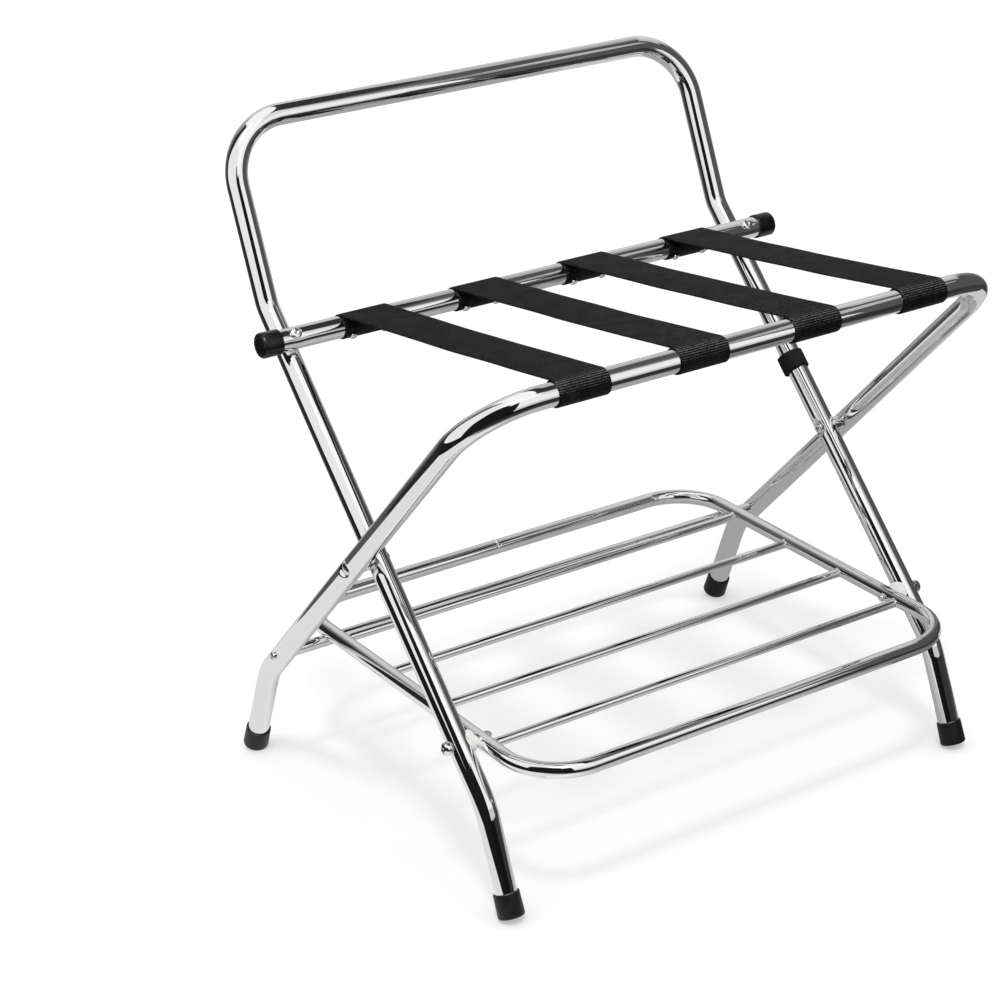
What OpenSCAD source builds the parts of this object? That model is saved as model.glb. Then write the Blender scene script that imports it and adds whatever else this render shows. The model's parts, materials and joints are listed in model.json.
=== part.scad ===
// Folding luggage rack with a low backrest and a lift-up shoe shelf.
//
// Two frames of bent round tube cross like an X and are riveted together at a pivot on each
// side. The inner frame runs from the front feet up and back into a backrest hoop; the outer
// frame runs from the rear feet up and forward into the front tube. Webbing straps between the
// front tube and a rear cross tube carry the luggage and stop the X from opening further. A
// shelf hangs on the inner legs by two bolts and lies on a cross rod between the outer legs.
//
// Sizes are in millimetres. X runs across the rack, +Y to the back and +Z up; the floor is
// Z = 0 and the origin is on it, under the middle of the rack.

/* [Overall] */
// Width over the outer frame's two legs
outer_w = 634; // [520:0.1:765]
// Height of the main pivots above the floor
pivot_h = 292.6; // [240:0.1:352]
// Clear gap between an outer leg and the inner leg beside it
leg_gap = 5.6; // [4:0.1:9]

/* [Frame tube] */
// Outside diameter of the frame tube
tube_d = 22.2; // [19:0.1:26.7]
// Wall of the frame tube
tube_wall = 1.2; // [0.9:0.1:2]

/* [Outer frame] */
// Slope of the outer legs, in degrees from the floor
outer_angle = 45; // [42:0.5:48]
// Length of an outer leg from the pivot up to the front tube's axis
outer_upper = 321.3; // [290:0.1:390]
// Length of an outer leg from the pivot down to its foot bend
outer_lower = 264.7; // [220:0.1:300]
// Slope of the outer legs' feet, in degrees from the floor
outer_foot_angle = 67.3; // [60:0.5:75]
// Bend radius at the front tube's two corners, on the tube's axis
front_corner_r = 67; // [50:1:90]
// Bend radius at the outer legs' feet, on the tube's axis
outer_foot_r = 70; // [50:1:100]

/* [Inner frame and backrest] */
// Slope of the inner legs, in degrees from the floor
inner_angle = 46.85; // [44:0.05:49]
// Length of an inner leg from the pivot down to its foot bend
inner_lower = 257.6; // [214:0.1:290]
// Length of an inner leg from the pivot up to the backrest bend
inner_upper = 279.5; // [260:0.1:340]
// Slope of the inner legs' feet, in degrees from the floor
inner_foot_angle = 68.8; // [60:0.5:75]
// Slope of the backrest, in degrees from the floor
hoop_angle = 68.4; // [60:0.5:80]
// Length of the backrest from its lower bend to the top tube's axis
hoop_rise = 181.6; // [140:0.1:240]
// Bend radius at the backrest's two top corners, on the tube's axis
hoop_corner_r = 63; // [50:1:80]
// Bend radius where the legs turn up into the backrest, on the tube's axis
hoop_foot_r = 40; // [24:1:60]
// Bend radius at the inner legs' feet, on the tube's axis
inner_foot_r = 80; // [50:1:100]

/* [Rear cross tube] */
// Distance of the rear cross tube below the backrest bend, along the leg
rear_tube_drop = 47.3; // [42:0.1:60]
// Depth of the saddle that the rear cross tube presses into each leg
saddle_depth = 1.3; // [0.8:0.1:2]
// Reach of the rear cross tube's caps beyond the inner legs' axes
rear_tube_reach = 36.9; // [36:0.1:50]
// Length of an end cap
cap_len = 21.5; // [18:0.5:24.5]
// End wall of an end cap
cap_floor = 2.5; // [1.5:0.1:4]

/* [Feet] */
// Wall of the rubber feet and caps round the tube
rubber_wall = 1.7; // [1.2:0.1:3]
// Length of a foot along its leg
foot_len = 24.3; // [18:0.1:30]
// How far a foot's sole stands out beyond its rim, all round
foot_flare = 0.5; // [0:0.1:1.5]
// Rubber under the end of the leg
foot_floor = 5; // [3:0.1:8]
// Rounding of the feet's and caps' closed end
rubber_round = 2.5; // [1.5:0.1:3]
// Depth of the flat that the floor makes on a foot's rim
foot_flat = 0.8; // [0.4:0.1:1.2]

/* [Straps] */
// Number of straps
strap_count = 4; // [4:1:4]
// Width of the webbing
strap_w = 55; // [40:1:70]
// Thickness of the webbing
strap_t = 1.5; // [1:0.1:2.2]
// Bare length of the front tube between an outer strap and the corner beside it
strap_margin = 13.4; // [4:0.1:25]
// Distance of a strap's two screws from its centre
strap_screw_x = 18; // [12:0.5:20]
// Slope of the strap screws under the tubes, in degrees from the floor
strap_screw_angle = 40; // [20:1:60]

/* [Pivots] */
// Diameter of the pivot rivets
rivet_d = 8; // [6:0.1:9]
// Diameter of a rivet's domed head and of its rolled tail
rivet_head_d = 12; // [11:0.1:14]
// Height of a rivet's domed head
rivet_head_h = 1.8; // [1.5:0.1:3]
// Height of a rivet's rolled tail
rivet_tail_h = 3.2; // [2:0.1:4]
// Bore of a rivet's rolled tail
rivet_bore_d = 5; // [3:0.1:5.5]
// Diameter of the pressed flat round a rivet
dish_d = 17; // [15.5:0.1:18.5]
// Depth of the pressed flat round a rivet
dish_depth = 3.4; // [2.6:0.1:3.8]
// Slope of the pressing's sides, in degrees from the flat
dish_slope = 50; // [35:1:80]
// Diameter of the spacer between the legs
pivot_spacer_d = 15; // [13:0.1:15.2]

/* [Shelf] */
// Outside diameter of the shelf's tube
shelf_tube_d = 15.9; // [14:0.1:19.1]
// Wall of the shelf's tube
shelf_tube_wall = 1; // [0.8:0.1:1.6]
// Bend radius at the shelf's corners, on the tube's axis
shelf_corner_r = 60; // [45:1:72]
// Distance of the shelf's front bar ahead of its hinge
shelf_front = 105.5; // [96:0.5:125]
// Distance of the shelf's rear bar behind the cross rod
shelf_rear = 58.6; // [45:0.1:75]
// Distance of the shelf's hinge above the foot bend, along the inner leg
hinge_rise = 62.3; // [50:0.1:75]
// Gap between a shelf side bar and the inner leg beside it
hinge_gap = 2.75; // [2.2:0.05:5]
// Number of slats across the shelf
slat_count = 4; // [4:1:4]
// Outside diameter of a slat
slat_d = 9.3; // [8:0.1:11.2]
// Wall of a slat
slat_wall = 1; // [0.8:0.1:1.5]
// Distance of the slats' axes below the shelf tube's axis
slat_drop = 1.2; // [0:0.1:2]

/* [Shelf hinge] */
// Diameter of the hinge bolts
bolt_d = 5; // [4:0.1:6]
// Diameter of a hinge bolt's round head
bolt_head_d = 12.5; // [10:0.1:13.5]
// Height of a hinge bolt's round head
bolt_head_h = 6.4; // [4:0.1:7]
// Diameter of the saddle spacer between leg and shelf
hinge_spacer_d = 22; // [16:0.5:22]
// Depth to which the saddle spacer reaches round the leg
hinge_spacer_wrap = 5; // [3:0.5:7]
// Width of a cap nut across its flats
nut_flats = 8; // [7:0.1:10]
// Height of a cap nut's hexagon
nut_h = 3.4; // [2:0.1:4]
// Height of a cap nut's dome
nut_dome_h = 2.8; // [2:0.1:3.2]

/* [Cross rod] */
// Diameter of the rod between the outer legs
rod_d = 12; // [10:0.1:14.4]
// Distance of the rod above the foot bend, along the outer leg
rod_rise = 47.5; // [40:0.1:60]
// Depth of the tapped hole in each end of the rod
rod_tap_depth = 22; // [16:0.5:30]

/* [Screws] */
// Diameter of the screws that hold the cross tube and the cross rod
screw_d = 4.8; // [4:0.1:5.5]
// Diameter of the cross tube screws' pan heads
cross_head_d = 10.6; // [8:0.1:12]
// Diameter of the cross rod screws' pan heads
rod_head_d = 9.2; // [8:0.1:10]
// Height of their pan heads
screw_head_h = 3.2; // [2.4:0.1:4]
// Diameter of the strap screws
strap_screw_d = 4; // [3:0.1:4.5]
// Diameter of the strap screws' pan heads
strap_head_d = 8; // [7:0.1:9]
// Height of the strap screws' pan heads
strap_head_h = 2.6; // [2:0.1:3]

/* [Keeper band] */
// Distance of the band above the pivot, along the inner leg
band_rise = 79; // [60:0.5:110]
// Width of the band
band_w = 20; // [15:0.5:25]
// Thickness of one layer of the band
band_t = 2.1; // [1:0.1:2.4]
// Part of a turn over which the band laps itself, in degrees
band_lap = 188; // [90:1:200]

/* [Hidden] */
$fn = 64;

// Clearances
seat_gap = 0.05;        // between pieces that are fixed together
run_gap = 0.05;         // radial, between a pin and what turns on it
face_gap = 0.15;        // between faces that slide past each other
soft_gap = 0.3;         // between a strap, or the resting shelf, and the frame that moves
over = 1;               // how far a cut runs past the surface that it opens

// Bending swells a tube a hair; each straight runs this far into the bend that it joins
bend_swell = 0.1;
bend_tuck = 0.5;

// Colours
chrome = "#c9cbce";
steel = "#b8bbc0";
rubber = "#2b2b2c";
webbing = "#262627";
nylon = "#efeeea";

// Places across the rack
tube_r = tube_d / 2;
outer_x = outer_w / 2 - tube_r;
inner_x = outer_x - leg_gap - tube_d;
shelf_r = shelf_tube_d / 2;
shelf_x = inner_x - tube_r - hinge_gap - shelf_r;
flat_r = tube_r - dish_depth;
strap_pitch = (2 * (outer_x - front_corner_r - strap_margin) - strap_w) / (strap_count - 1);

// Side view: points are [y, z], with y counted from the main pivot
function polar(length, angle) = length * [cos(angle), sin(angle)];
function at(x, side_point) = [x, side_point[0], side_point[1]];
function slope_of(v) = atan2(v[1], v[0]);

pivot = [0, pivot_h];
outer_bend = pivot + polar(outer_lower, -outer_angle);
outer_top = pivot + polar(outer_upper, 180 - outer_angle);
inner_bend = pivot + polar(inner_lower, 180 + inner_angle);
hoop_bend = pivot + polar(inner_upper, inner_angle);
hoop_top = hoop_bend + polar(hoop_rise, hoop_angle);

// The rear cross tube lies in its saddles on the legs' upper front side
lean = inner_angle + 90;
rear_tube = hoop_bend - polar(rear_tube_drop, inner_angle)
    + polar(tube_d - saddle_depth, lean);
rear_cap_x = inner_x + rear_tube_reach;
rubber_d = tube_d + 2 * rubber_wall;
sole_r = rubber_d / 2 + foot_flare;

// Distance from a foot bend to the foot's sole: the rim's lowest point is foot_flat under
// the floor, where the flat is cut
function sole_reach(bend, angle) =
    rubber_round + (bend[1] + foot_flat - rubber_round
        - (sole_r - rubber_round) * cos(angle)) / sin(angle);
outer_sole = outer_bend
    + polar(sole_reach(outer_bend, outer_foot_angle), -outer_foot_angle);
inner_sole = inner_bend
    + polar(sole_reach(inner_bend, inner_foot_angle), 180 + inner_foot_angle);
outer_end = outer_sole - polar(foot_floor, -outer_foot_angle);
inner_end = inner_sole - polar(foot_floor, 180 + inner_foot_angle);

// The shelf turns on its hinge and lies on the cross rod
rod = outer_bend + polar(rod_rise, 180 - outer_angle);
hinge = inner_bend + polar(hinge_rise, inner_angle);
rod_lift = shelf_r + rod_d / 2 + soft_gap;
rod_reach = norm(rod - hinge);
shelf_slope = slope_of(rod - hinge) + asin(rod_lift / rod_reach);
shelf_back = sqrt(rod_reach * rod_reach - rod_lift * rod_lift) + shelf_rear;
slat_pitch = (shelf_front + shelf_back) / (slat_count + 1);

// The straps run along the tangent over the rear cross tube and the front tube
rear_wrap_r = tube_r + seat_gap;
front_wrap_r = tube_r + soft_gap;
span = outer_top - rear_tube;
strap_turn = slope_of(span) - asin((front_wrap_r - rear_wrap_r) / norm(span));

// The rack is drawn from its pivot and then centred front to back
front_y = min(hinge[0] - shelf_front * cos(shelf_slope) - shelf_r,
    outer_top[0] - front_wrap_r - strap_t);
rear_y = hoop_top[0] + tube_r;
mid_y = (front_y + rear_y) / 2;

outer_path = [at(-outer_x, outer_end), at(-outer_x, outer_bend), at(-outer_x, outer_top),
    at(outer_x, outer_top), at(outer_x, outer_bend), at(outer_x, outer_end)];
outer_radii = [0, outer_foot_r, front_corner_r, front_corner_r, outer_foot_r, 0];
inner_path = [at(-inner_x, inner_end), at(-inner_x, inner_bend), at(-inner_x, hoop_bend),
    at(-inner_x, hoop_top), at(inner_x, hoop_top), at(inner_x, hoop_bend),
    at(inner_x, inner_bend), at(inner_x, inner_end)];
inner_radii = [0, inner_foot_r, hoop_foot_r, hoop_corner_r, hoop_corner_r, hoop_foot_r,
    inner_foot_r, 0];
shelf_path = [[-shelf_x, -shelf_front, 0], [shelf_x, -shelf_front, 0],
    [shelf_x, shelf_back, 0], [-shelf_x, shelf_back, 0]];
shelf_radii = [for (corner = shelf_path) shelf_corner_r];

// ---- Placing ----

function unit(v) = v / norm(v);

// Matrix with the given axes as its columns and the origin at a point
function axes(x, y, z, origin) = [
    [x[0], y[0], z[0], origin[0]],
    [x[1], y[1], z[1], origin[1]],
    [x[2], y[2], z[2], origin[2]],
    [0, 0, 0, 1]];

// Centres the rack front to back
module centred() translate([0, -mid_y, 0]) children();

// Stands children at a point, with their Z along a direction
module along(origin, direction) {
    z = unit(direction);
    x = unit(abs(z[0]) > 0.9 ? cross([0, 1, 0], z) : cross([1, 0, 0], z));
    multmatrix(axes(x, cross(z, x), z, origin)) children();
}

// Stands children at a point of the side view, with their Z outwards on one side
module sideways(side, x, side_point) along(at(side * x, side_point), [side, 0, 0]) children();

// Lays a side view drawn in the XY plane into the YZ plane, extrusions running along +X
module side_view() rotate([90, 0, 90]) children();

// The shelf's own plane: its hinge line is Y = 0 and its side bars run along Y
module on_shelf() translate(at(0, hinge)) rotate([shelf_slope, 0, 0]) children();

// ---- Bent tube ----

// Length that a bend takes off each of the straights it joins
function bend_cut(before, corner, after, r) =
    r * tan(acos(unit(corner - before) * unit(after - corner)) / 2);

// Same path with both ends lengthened
function lengthened(path, by) = let (n = len(path))
    [for (i = [0:n - 1])
        i == 0 ? path[0] + by * unit(path[0] - path[1])
        : i == n - 1 ? path[i] + by * unit(path[i] - path[i - 1])
        : path[i]];

module straight(from, to, d) along(from, to - from) cylinder(d = d, h = norm(to - from));

// One bend: starts along the incoming straight and turns towards the outgoing one
module bend(before, corner, after, r, d) {
    into = unit(corner - before);
    out = unit(after - corner);
    inward = unit(out - (into * out) * into);
    start = corner - bend_cut(before, corner, after, r) * into;
    multmatrix(axes(-inward, into, cross(-inward, into), start + r * inward))
        rotate_extrude(angle = acos(into * out))
            translate([r, 0])
                circle(d = d + bend_swell);
}

// Round bar bent along a path of corners, each with its own bend radius
module bent_bar(path, radii, d, closed = false) {
    n = len(path);
    cuts = [for (i = [0:n - 1])
        closed || (i > 0 && i < n - 1)
            ? bend_cut(path[(i + n - 1) % n], path[i], path[(i + 1) % n], radii[i]) : 0];
    for (i = [0:closed ? n - 1 : n - 2]) {
        j = (i + 1) % n;
        run = unit(path[j] - path[i]);
        from = path[i] + max(cuts[i] - bend_tuck, 0) * run;
        to = path[j] - max(cuts[j] - bend_tuck, 0) * run;
        straight(from, to, d);
    }
    for (i = [0:n - 1])
        if (cuts[i] > 0)
            bend(path[(i + n - 1) % n], path[i], path[(i + 1) % n], radii[i], d);
}

// ---- Shapes that repeat ----

// Cup of rubber, closed end at Z = 0 with a rounded rim of radius end_r
module rubber_cup(length, floor_t, end_r) difference() {
    rotate_extrude() {
        polygon([[0, rubber_round], [end_r, rubber_round], [rubber_d / 2, length], [0, length]]);
        square([end_r - rubber_round, length / 2]);
        translate([end_r - rubber_round, rubber_round])
            intersection() {
                circle(r = rubber_round);
                translate([-over, -rubber_round])
                    square(rubber_round + over);
            }
    }
    translate([0, 0, floor_t - seat_gap])
        cylinder(d = tube_d + 2 * seat_gap, h = length);
}

// Dome: a cap of a ball on a straight rim, its flat side at Z = 0
module dome(d, h, rim) {
    cap_h = h - rim;
    ball_r = (d * d / 4 + cap_h * cap_h) / (2 * cap_h);
    intersection() {
        translate([0, 0, h - ball_r])
            sphere(r = ball_r);
        cylinder(d = d, h = h);
    }
}

// Cross-shaped driver recess sunk from the top of a head of height h
module cross_recess(d, h) {
    wing = d * 0.5;
    slot = d * 0.13;
    depth = h * 0.5;
    for (turn = [0, 90])
        rotate(turn)
            translate([-wing / 2, -slot / 2, h - depth])
                cube([wing, slot, depth + over]);
}

// Pan-head screw: head on +Z from Z = 0, shank down to Z = -length
module pan_screw(d, head_d, head_h, length) {
    difference() {
        dome(head_d, head_h, head_h * 0.3);
        cross_recess(head_d, head_h);
    }
    translate([0, 0, -length])
        cylinder(d = d, h = length + head_h * 0.3);
}

// ---- Pressings and holes in the frames ----

// Flats pressed into both sides of a leg at its pivot, with sloping sides; grow is the wall
// that follows them
module pivot_flats(leg_x, grow)
    for (side = [-1, 1], face = [-1, 1])
        along(at(side * leg_x + face * (flat_r - grow), pivot), [face, 0, 0]) {
            base_r = dish_d / 2 + grow * tan(dish_slope / 2);
            cylinder(r1 = base_r, r2 = base_r + tube_r / tan(dish_slope), h = tube_r);
        }

// Saddles that the rear cross tube presses into the inner legs
module rear_saddles(grow)
    for (side = [-1, 1])
        along(at(side * inner_x - tube_r, rear_tube), [1, 0, 0])
            cylinder(d = tube_d + 2 * (seat_gap + grow), h = tube_d);

// A hole through both walls of the legs at +x and -x
module leg_holes(leg_x, side_point, d)
    for (side = [-1, 1])
        along(at(side * leg_x - tube_r - over, side_point), [1, 0, 0])
            cylinder(d = d, h = tube_d + 2 * over);

// Places of the strap screws on a tube: their Z points out of the tube
module at_strap_screws(tube, angle, r)
    for (i = [1:strap_count], side = [-1, 1])
        along(at(strap_x(i) + side * strap_screw_x, tube + polar(r, angle)), at(0, polar(1, angle)))
            children();

function strap_x(i) = (i - (strap_count + 1) / 2) * strap_pitch;
rear_screw_angle = 180 + strap_screw_angle;
front_screw_angle = -strap_screw_angle;
strap_screw_len = strap_t + tube_wall + 5;

// Places of the screws that hold the rear cross tube on the legs
module at_cross_tube_screws()
    for (side = [-1, 1])
        along(at(side * inner_x, rear_tube + polar(tube_r, lean)), at(0, polar(1, lean)))
            children();

cross_screw_len = tube_d + 2 * tube_wall + 6;

// ---- Frames ----

module backrest_frame() color(chrome) centred() difference() {
    bent_bar(inner_path, inner_radii, tube_d);
    pivot_flats(inner_x, 0);
    rear_saddles(0);
    difference() {
        bent_bar(lengthened(inner_path, over), inner_radii, tube_d - 2 * tube_wall);
        pivot_flats(inner_x, tube_wall);
        rear_saddles(tube_wall);
    }
    leg_holes(inner_x, pivot, rivet_d + 2 * seat_gap);
    leg_holes(inner_x, hinge, bolt_d + 2 * seat_gap);
    at_cross_tube_screws()
        translate([0, 0, -cross_screw_len - over])
            cylinder(d = screw_d + 2 * seat_gap, h = cross_screw_len);
}

module outer_frame() color(chrome) centred() difference() {
    bent_bar(outer_path, outer_radii, tube_d);
    pivot_flats(outer_x, 0);
    difference() {
        bent_bar(lengthened(outer_path, over), outer_radii, tube_d - 2 * tube_wall);
        pivot_flats(outer_x, tube_wall);
    }
    leg_holes(outer_x, pivot, rivet_d + 2 * run_gap);
    leg_holes(outer_x, rod, screw_d + 2 * seat_gap);
    at_strap_screws(outer_top, front_screw_angle, 0)
        cylinder(d = strap_screw_d + 2 * seat_gap, h = tube_d);
}

module rear_cross_tube() color(chrome) centred() difference() {
    half = rear_cap_x - cap_floor;
    straight(at(-half, rear_tube), at(half, rear_tube), tube_d);
    straight(at(-half - over, rear_tube), at(half + over, rear_tube), tube_d - 2 * tube_wall);
    at_cross_tube_screws()
        translate([0, 0, -cross_screw_len])
            cylinder(d = screw_d + 2 * seat_gap, h = cross_screw_len + over);
    at_strap_screws(rear_tube, rear_screw_angle, 0)
        cylinder(d = strap_screw_d + 2 * seat_gap, h = tube_d);
}

// The rod's ends are coped to the outer legs and tapped for their screws
module lower_cross_rod() color(chrome) centred() difference() {
    straight(at(-outer_x, rod), at(outer_x, rod), rod_d);
    for (side = [-1, 1]) {
        straight(at(side * outer_x, outer_bend), at(side * outer_x, pivot), tube_d + 2 * seat_gap);
        sideways(side, outer_x - tube_r - rod_tap_depth, rod)
            cylinder(d = screw_d + 2 * seat_gap, h = rod_tap_depth + tube_r);
    }
}

// ---- Feet and caps ----

module foot(side, leg_x, sole, end) color(rubber) difference() {
    centred()
        along(at(side * leg_x, sole), at(0, end - sole))
            rubber_cup(foot_len, foot_floor, sole_r);
    translate([side * leg_x - rubber_d, -outer_w, -rubber_d])
        cube([2 * rubber_d, 2 * outer_w, rubber_d]);
}

module foot_front_left() foot(-1, inner_x, inner_sole, inner_end);
module foot_front_right() foot(1, inner_x, inner_sole, inner_end);
module foot_rear_left() foot(-1, outer_x, outer_sole, outer_end);
module foot_rear_right() foot(1, outer_x, outer_sole, outer_end);

module cross_tube_cap(side) color(rubber) centred()
    along(at(side * rear_cap_x, rear_tube), [-side, 0, 0])
        rubber_cup(cap_len, cap_floor, rubber_d / 2);

module cross_tube_cap_left() cross_tube_cap(-1);
module cross_tube_cap_right() cross_tube_cap(1);

// ---- Straps ----

// Webbing strap: a wrap round each tube and the taut span over both. It is drawn from the
// rear tube's axis, with the span running along X at its lowest Y and then turned over
module strap(i) color(webbing) centred() difference() {
    reach = sqrt(span * span - pow(front_wrap_r - rear_wrap_r, 2));
    side_view() translate([rear_tube[0], rear_tube[1], strap_x(i) - strap_w / 2])
        rotate(strap_turn) {
            translate([0, -rear_wrap_r - strap_t, 0])
                cube([reach, strap_t, strap_w]);
            strap_wrap(rear_wrap_r, -1);
            translate([reach, front_wrap_r - rear_wrap_r, 0])
                strap_wrap(front_wrap_r, 1);
        }
    at_strap_screws(rear_tube, rear_screw_angle, 0)
        cylinder(d = strap_screw_d + 2 * seat_gap, h = tube_d);
    at_strap_screws(outer_top, front_screw_angle, 0)
        cylinder(d = strap_screw_d + 2 * soft_gap, h = tube_d);
}

// A wrap leaves the span at the tube's top and turns one way, all round but for the
// stretch where its end would meet the span's own underside
module strap_wrap(r, way) {
    turn = 360 - acos((r - soft_gap) / (r + strap_t));
    rotate_extrude(start = way > 0 ? -90 : -90 - turn, angle = turn)
        translate([r, 0])
            square([strap_t, strap_w]);
}

module strap_1() strap(1);
module strap_2() strap(2);
module strap_3() strap(3);
module strap_4() strap(4);

// ---- Screws ----

module strap_screws_rear() color(steel) centred()
    at_strap_screws(rear_tube, rear_screw_angle, rear_wrap_r + strap_t + seat_gap)
        pan_screw(strap_screw_d, strap_head_d, strap_head_h, strap_screw_len);

module strap_screws_front() color(steel) centred()
    at_strap_screws(outer_top, front_screw_angle, front_wrap_r + strap_t + soft_gap)
        pan_screw(strap_screw_d, strap_head_d, strap_head_h, strap_screw_len);

module cross_tube_screws() color(steel) centred()
    at_cross_tube_screws()
        translate([0, 0, seat_gap])
            pan_screw(screw_d, cross_head_d, screw_head_h, cross_screw_len - over);

module lower_cross_screws() color(steel) centred()
    for (side = [-1, 1])
        sideways(side, outer_x + tube_r + seat_gap, rod)
            pan_screw(screw_d, rod_head_d, screw_head_h, tube_d + rod_tap_depth - 2 * over);

// ---- Main pivots ----

// Rivet fixed in the inner leg: domed head outside the outer leg, rolled tail inside
module pivot_rivet(side) color(steel) centred() {
    head_x = outer_x + flat_r + face_gap;
    tail_x = inner_x - flat_r - seat_gap;
    sideways(side, head_x, pivot)
        dome(rivet_head_d, rivet_head_h, rivet_head_h * 0.25);
    sideways(side, tail_x, pivot)
        cylinder(d = rivet_d, h = head_x - tail_x + rivet_head_h * 0.25);
    sideways(side, tail_x, pivot)
        mirror([0, 0, 1])
            difference() {
                dome(rivet_head_d, rivet_tail_h * 1.25, rivet_tail_h * 0.4);
                translate([0, 0, rivet_tail_h])
                    cylinder(d = rivet_head_d, h = rivet_tail_h);
                translate([0, 0, over])
                    cylinder(d = rivet_bore_d, h = rivet_tail_h);
            }
}

module pivot_rivet_left() pivot_rivet(-1);
module pivot_rivet_right() pivot_rivet(1);

// Spacer between the pressed flats of the two legs, turning against the outer one
module pivot_spacer(side) color(steel) centred()
    sideways(side, inner_x + flat_r + seat_gap, pivot)
        difference() {
            spacer_h = outer_x - inner_x - 2 * flat_r - seat_gap - face_gap;
            cylinder(d = pivot_spacer_d, h = spacer_h);
            translate([0, 0, -over])
                cylinder(d = rivet_d + 2 * seat_gap, h = spacer_h + 2 * over);
        }

module pivot_spacer_left() pivot_spacer(-1);
module pivot_spacer_right() pivot_spacer(1);

// ---- Shelf ----

module shelf_frame() color(chrome) centred() on_shelf() difference() {
    bent_bar(shelf_path, shelf_radii, shelf_tube_d, closed = true);
    bent_bar(shelf_path, shelf_radii, shelf_tube_d - 2 * shelf_tube_wall, closed = true);
    for (side = [-1, 1])
        translate([side * shelf_x - shelf_tube_d / 2 - over, 0, 0])
            rotate([0, 90, 0])
                cylinder(d = bolt_d + 2 * run_gap, h = shelf_tube_d + 2 * over);
}

// Slat welded between the side bars, with its ends coped to them
module shelf_slat(i) color(chrome) centred() on_shelf() difference() {
    y = i * slat_pitch - shelf_front;
    straight([-shelf_x, y, -slat_drop], [shelf_x, y, -slat_drop], slat_d);
    straight([-shelf_x, y, -slat_drop], [shelf_x, y, -slat_drop], slat_d - 2 * slat_wall);
    for (side = [-1, 1])
        straight([side * shelf_x, y - slat_d, 0], [side * shelf_x, y + slat_d, 0],
            shelf_tube_d + 2 * seat_gap);
}

module shelf_slat_1() shelf_slat(1);
module shelf_slat_2() shelf_slat(2);
module shelf_slat_3() shelf_slat(3);
module shelf_slat_4() shelf_slat(4);

// ---- Shelf hinges ----

nut_x = shelf_x - shelf_r - face_gap;
bolt_len = inner_x + tube_r - nut_x + nut_h + 1;

module shelf_bolt(side) color(steel) centred()
    sideways(side, inner_x + tube_r + seat_gap, hinge)
        pan_screw(bolt_d, bolt_head_d, bolt_head_h, bolt_len);

module shelf_bolt_left() shelf_bolt(-1);
module shelf_bolt_right() shelf_bolt(1);

// Nylon spacer: flat against the shelf's side bar and hollowed to sit on the leg
module shelf_spacer(side) color(nylon) centred() difference() {
    sideways(side, shelf_x + shelf_r + face_gap, hinge)
        cylinder(d = hinge_spacer_d, h = hinge_gap - face_gap + hinge_spacer_wrap);
    straight(at(side * inner_x, inner_bend), at(side * inner_x, pivot), tube_d + 2 * seat_gap);
    sideways(side, shelf_x, hinge)
        cylinder(d = bolt_d + 2 * seat_gap, h = tube_d);
}

module shelf_spacer_left() shelf_spacer(-1);
module shelf_spacer_right() shelf_spacer(1);

// Cap nut on the bolt's end, inside the shelf's side bar
module shelf_nut(side) color(steel) centred()
    sideways(side, nut_x, hinge)
        mirror([0, 0, 1])
            difference() {
                union() {
                    cylinder(d = nut_flats / cos(30), h = nut_h, $fn = 6);
                    translate([0, 0, nut_h])
                        dome(nut_flats * 0.95, nut_dome_h, 0.4);
                }
                translate([0, 0, -over])
                    cylinder(d = bolt_d + 2 * seat_gap, h = nut_h + 1.3 + over);
            }

module shelf_nut_left() shelf_nut(-1);
module shelf_nut_right() shelf_nut(1);

// ---- Keeper band ----

// Middle of the band's lap, in degrees round the leg from its upper front towards the outside
lap_middle = 264;

// Hook-and-loop band wound round the right inner leg: one turn, and a lap on its inner side.
// The shelf's side bar lies in a groove in the lap when the shelf is folded against the legs
module keeper_band() color(webbing) centred() difference() {
    inside = tube_r + seat_gap;
    start = pivot + polar(band_rise - band_w / 2, inner_angle);
    end = start + polar(band_w, inner_angle);
    along(at(inner_x, start), at(0, end - start)) difference() {
        union() {
            cylinder(r = inside + band_t, h = band_w);
            rotate_extrude(start = lap_middle - band_lap / 2, angle = band_lap)
                square([inside + 2 * band_t, band_w]);
        }
        translate([0, 0, -over])
            cylinder(r = inside, h = band_w + 2 * over);
    }
    straight(at(shelf_x, pivot), at(shelf_x, end + polar(band_w, inner_angle)),
        shelf_tube_d + 2 * soft_gap);
}

backrest_frame();
outer_frame();
rear_cross_tube();
cross_tube_cap_left();
cross_tube_cap_right();
cross_tube_screws();
lower_cross_rod();
lower_cross_screws();
foot_front_left();
foot_front_right();
foot_rear_left();
foot_rear_right();
strap_1();
strap_2();
strap_3();
strap_4();
strap_screws_rear();
strap_screws_front();
pivot_rivet_left();
pivot_rivet_right();
pivot_spacer_left();
pivot_spacer_right();
shelf_frame();
shelf_slat_1();
shelf_slat_2();
shelf_slat_3();
shelf_slat_4();
shelf_bolt_left();
shelf_bolt_right();
shelf_spacer_left();
shelf_spacer_right();
shelf_nut_left();
shelf_nut_right();
keeper_band();
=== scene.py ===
"""Looks of a folding luggage rack: chromed tube, webbing straps, rubber feet and a soft studio.

Pieces are sized in millimetres, which become metres when a mesh is made. Finishes and the studio
are in metres. X runs across the rack, +Y to the back and +Z up; the floor is Z = 0.
"""

import json
import logging
import math
from collections.abc import Callable, Iterable, Sequence
from dataclasses import dataclass
from enum import Enum
from functools import cached_property

import bmesh
import bpy
import numpy as np
from mathutils import Matrix


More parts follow.
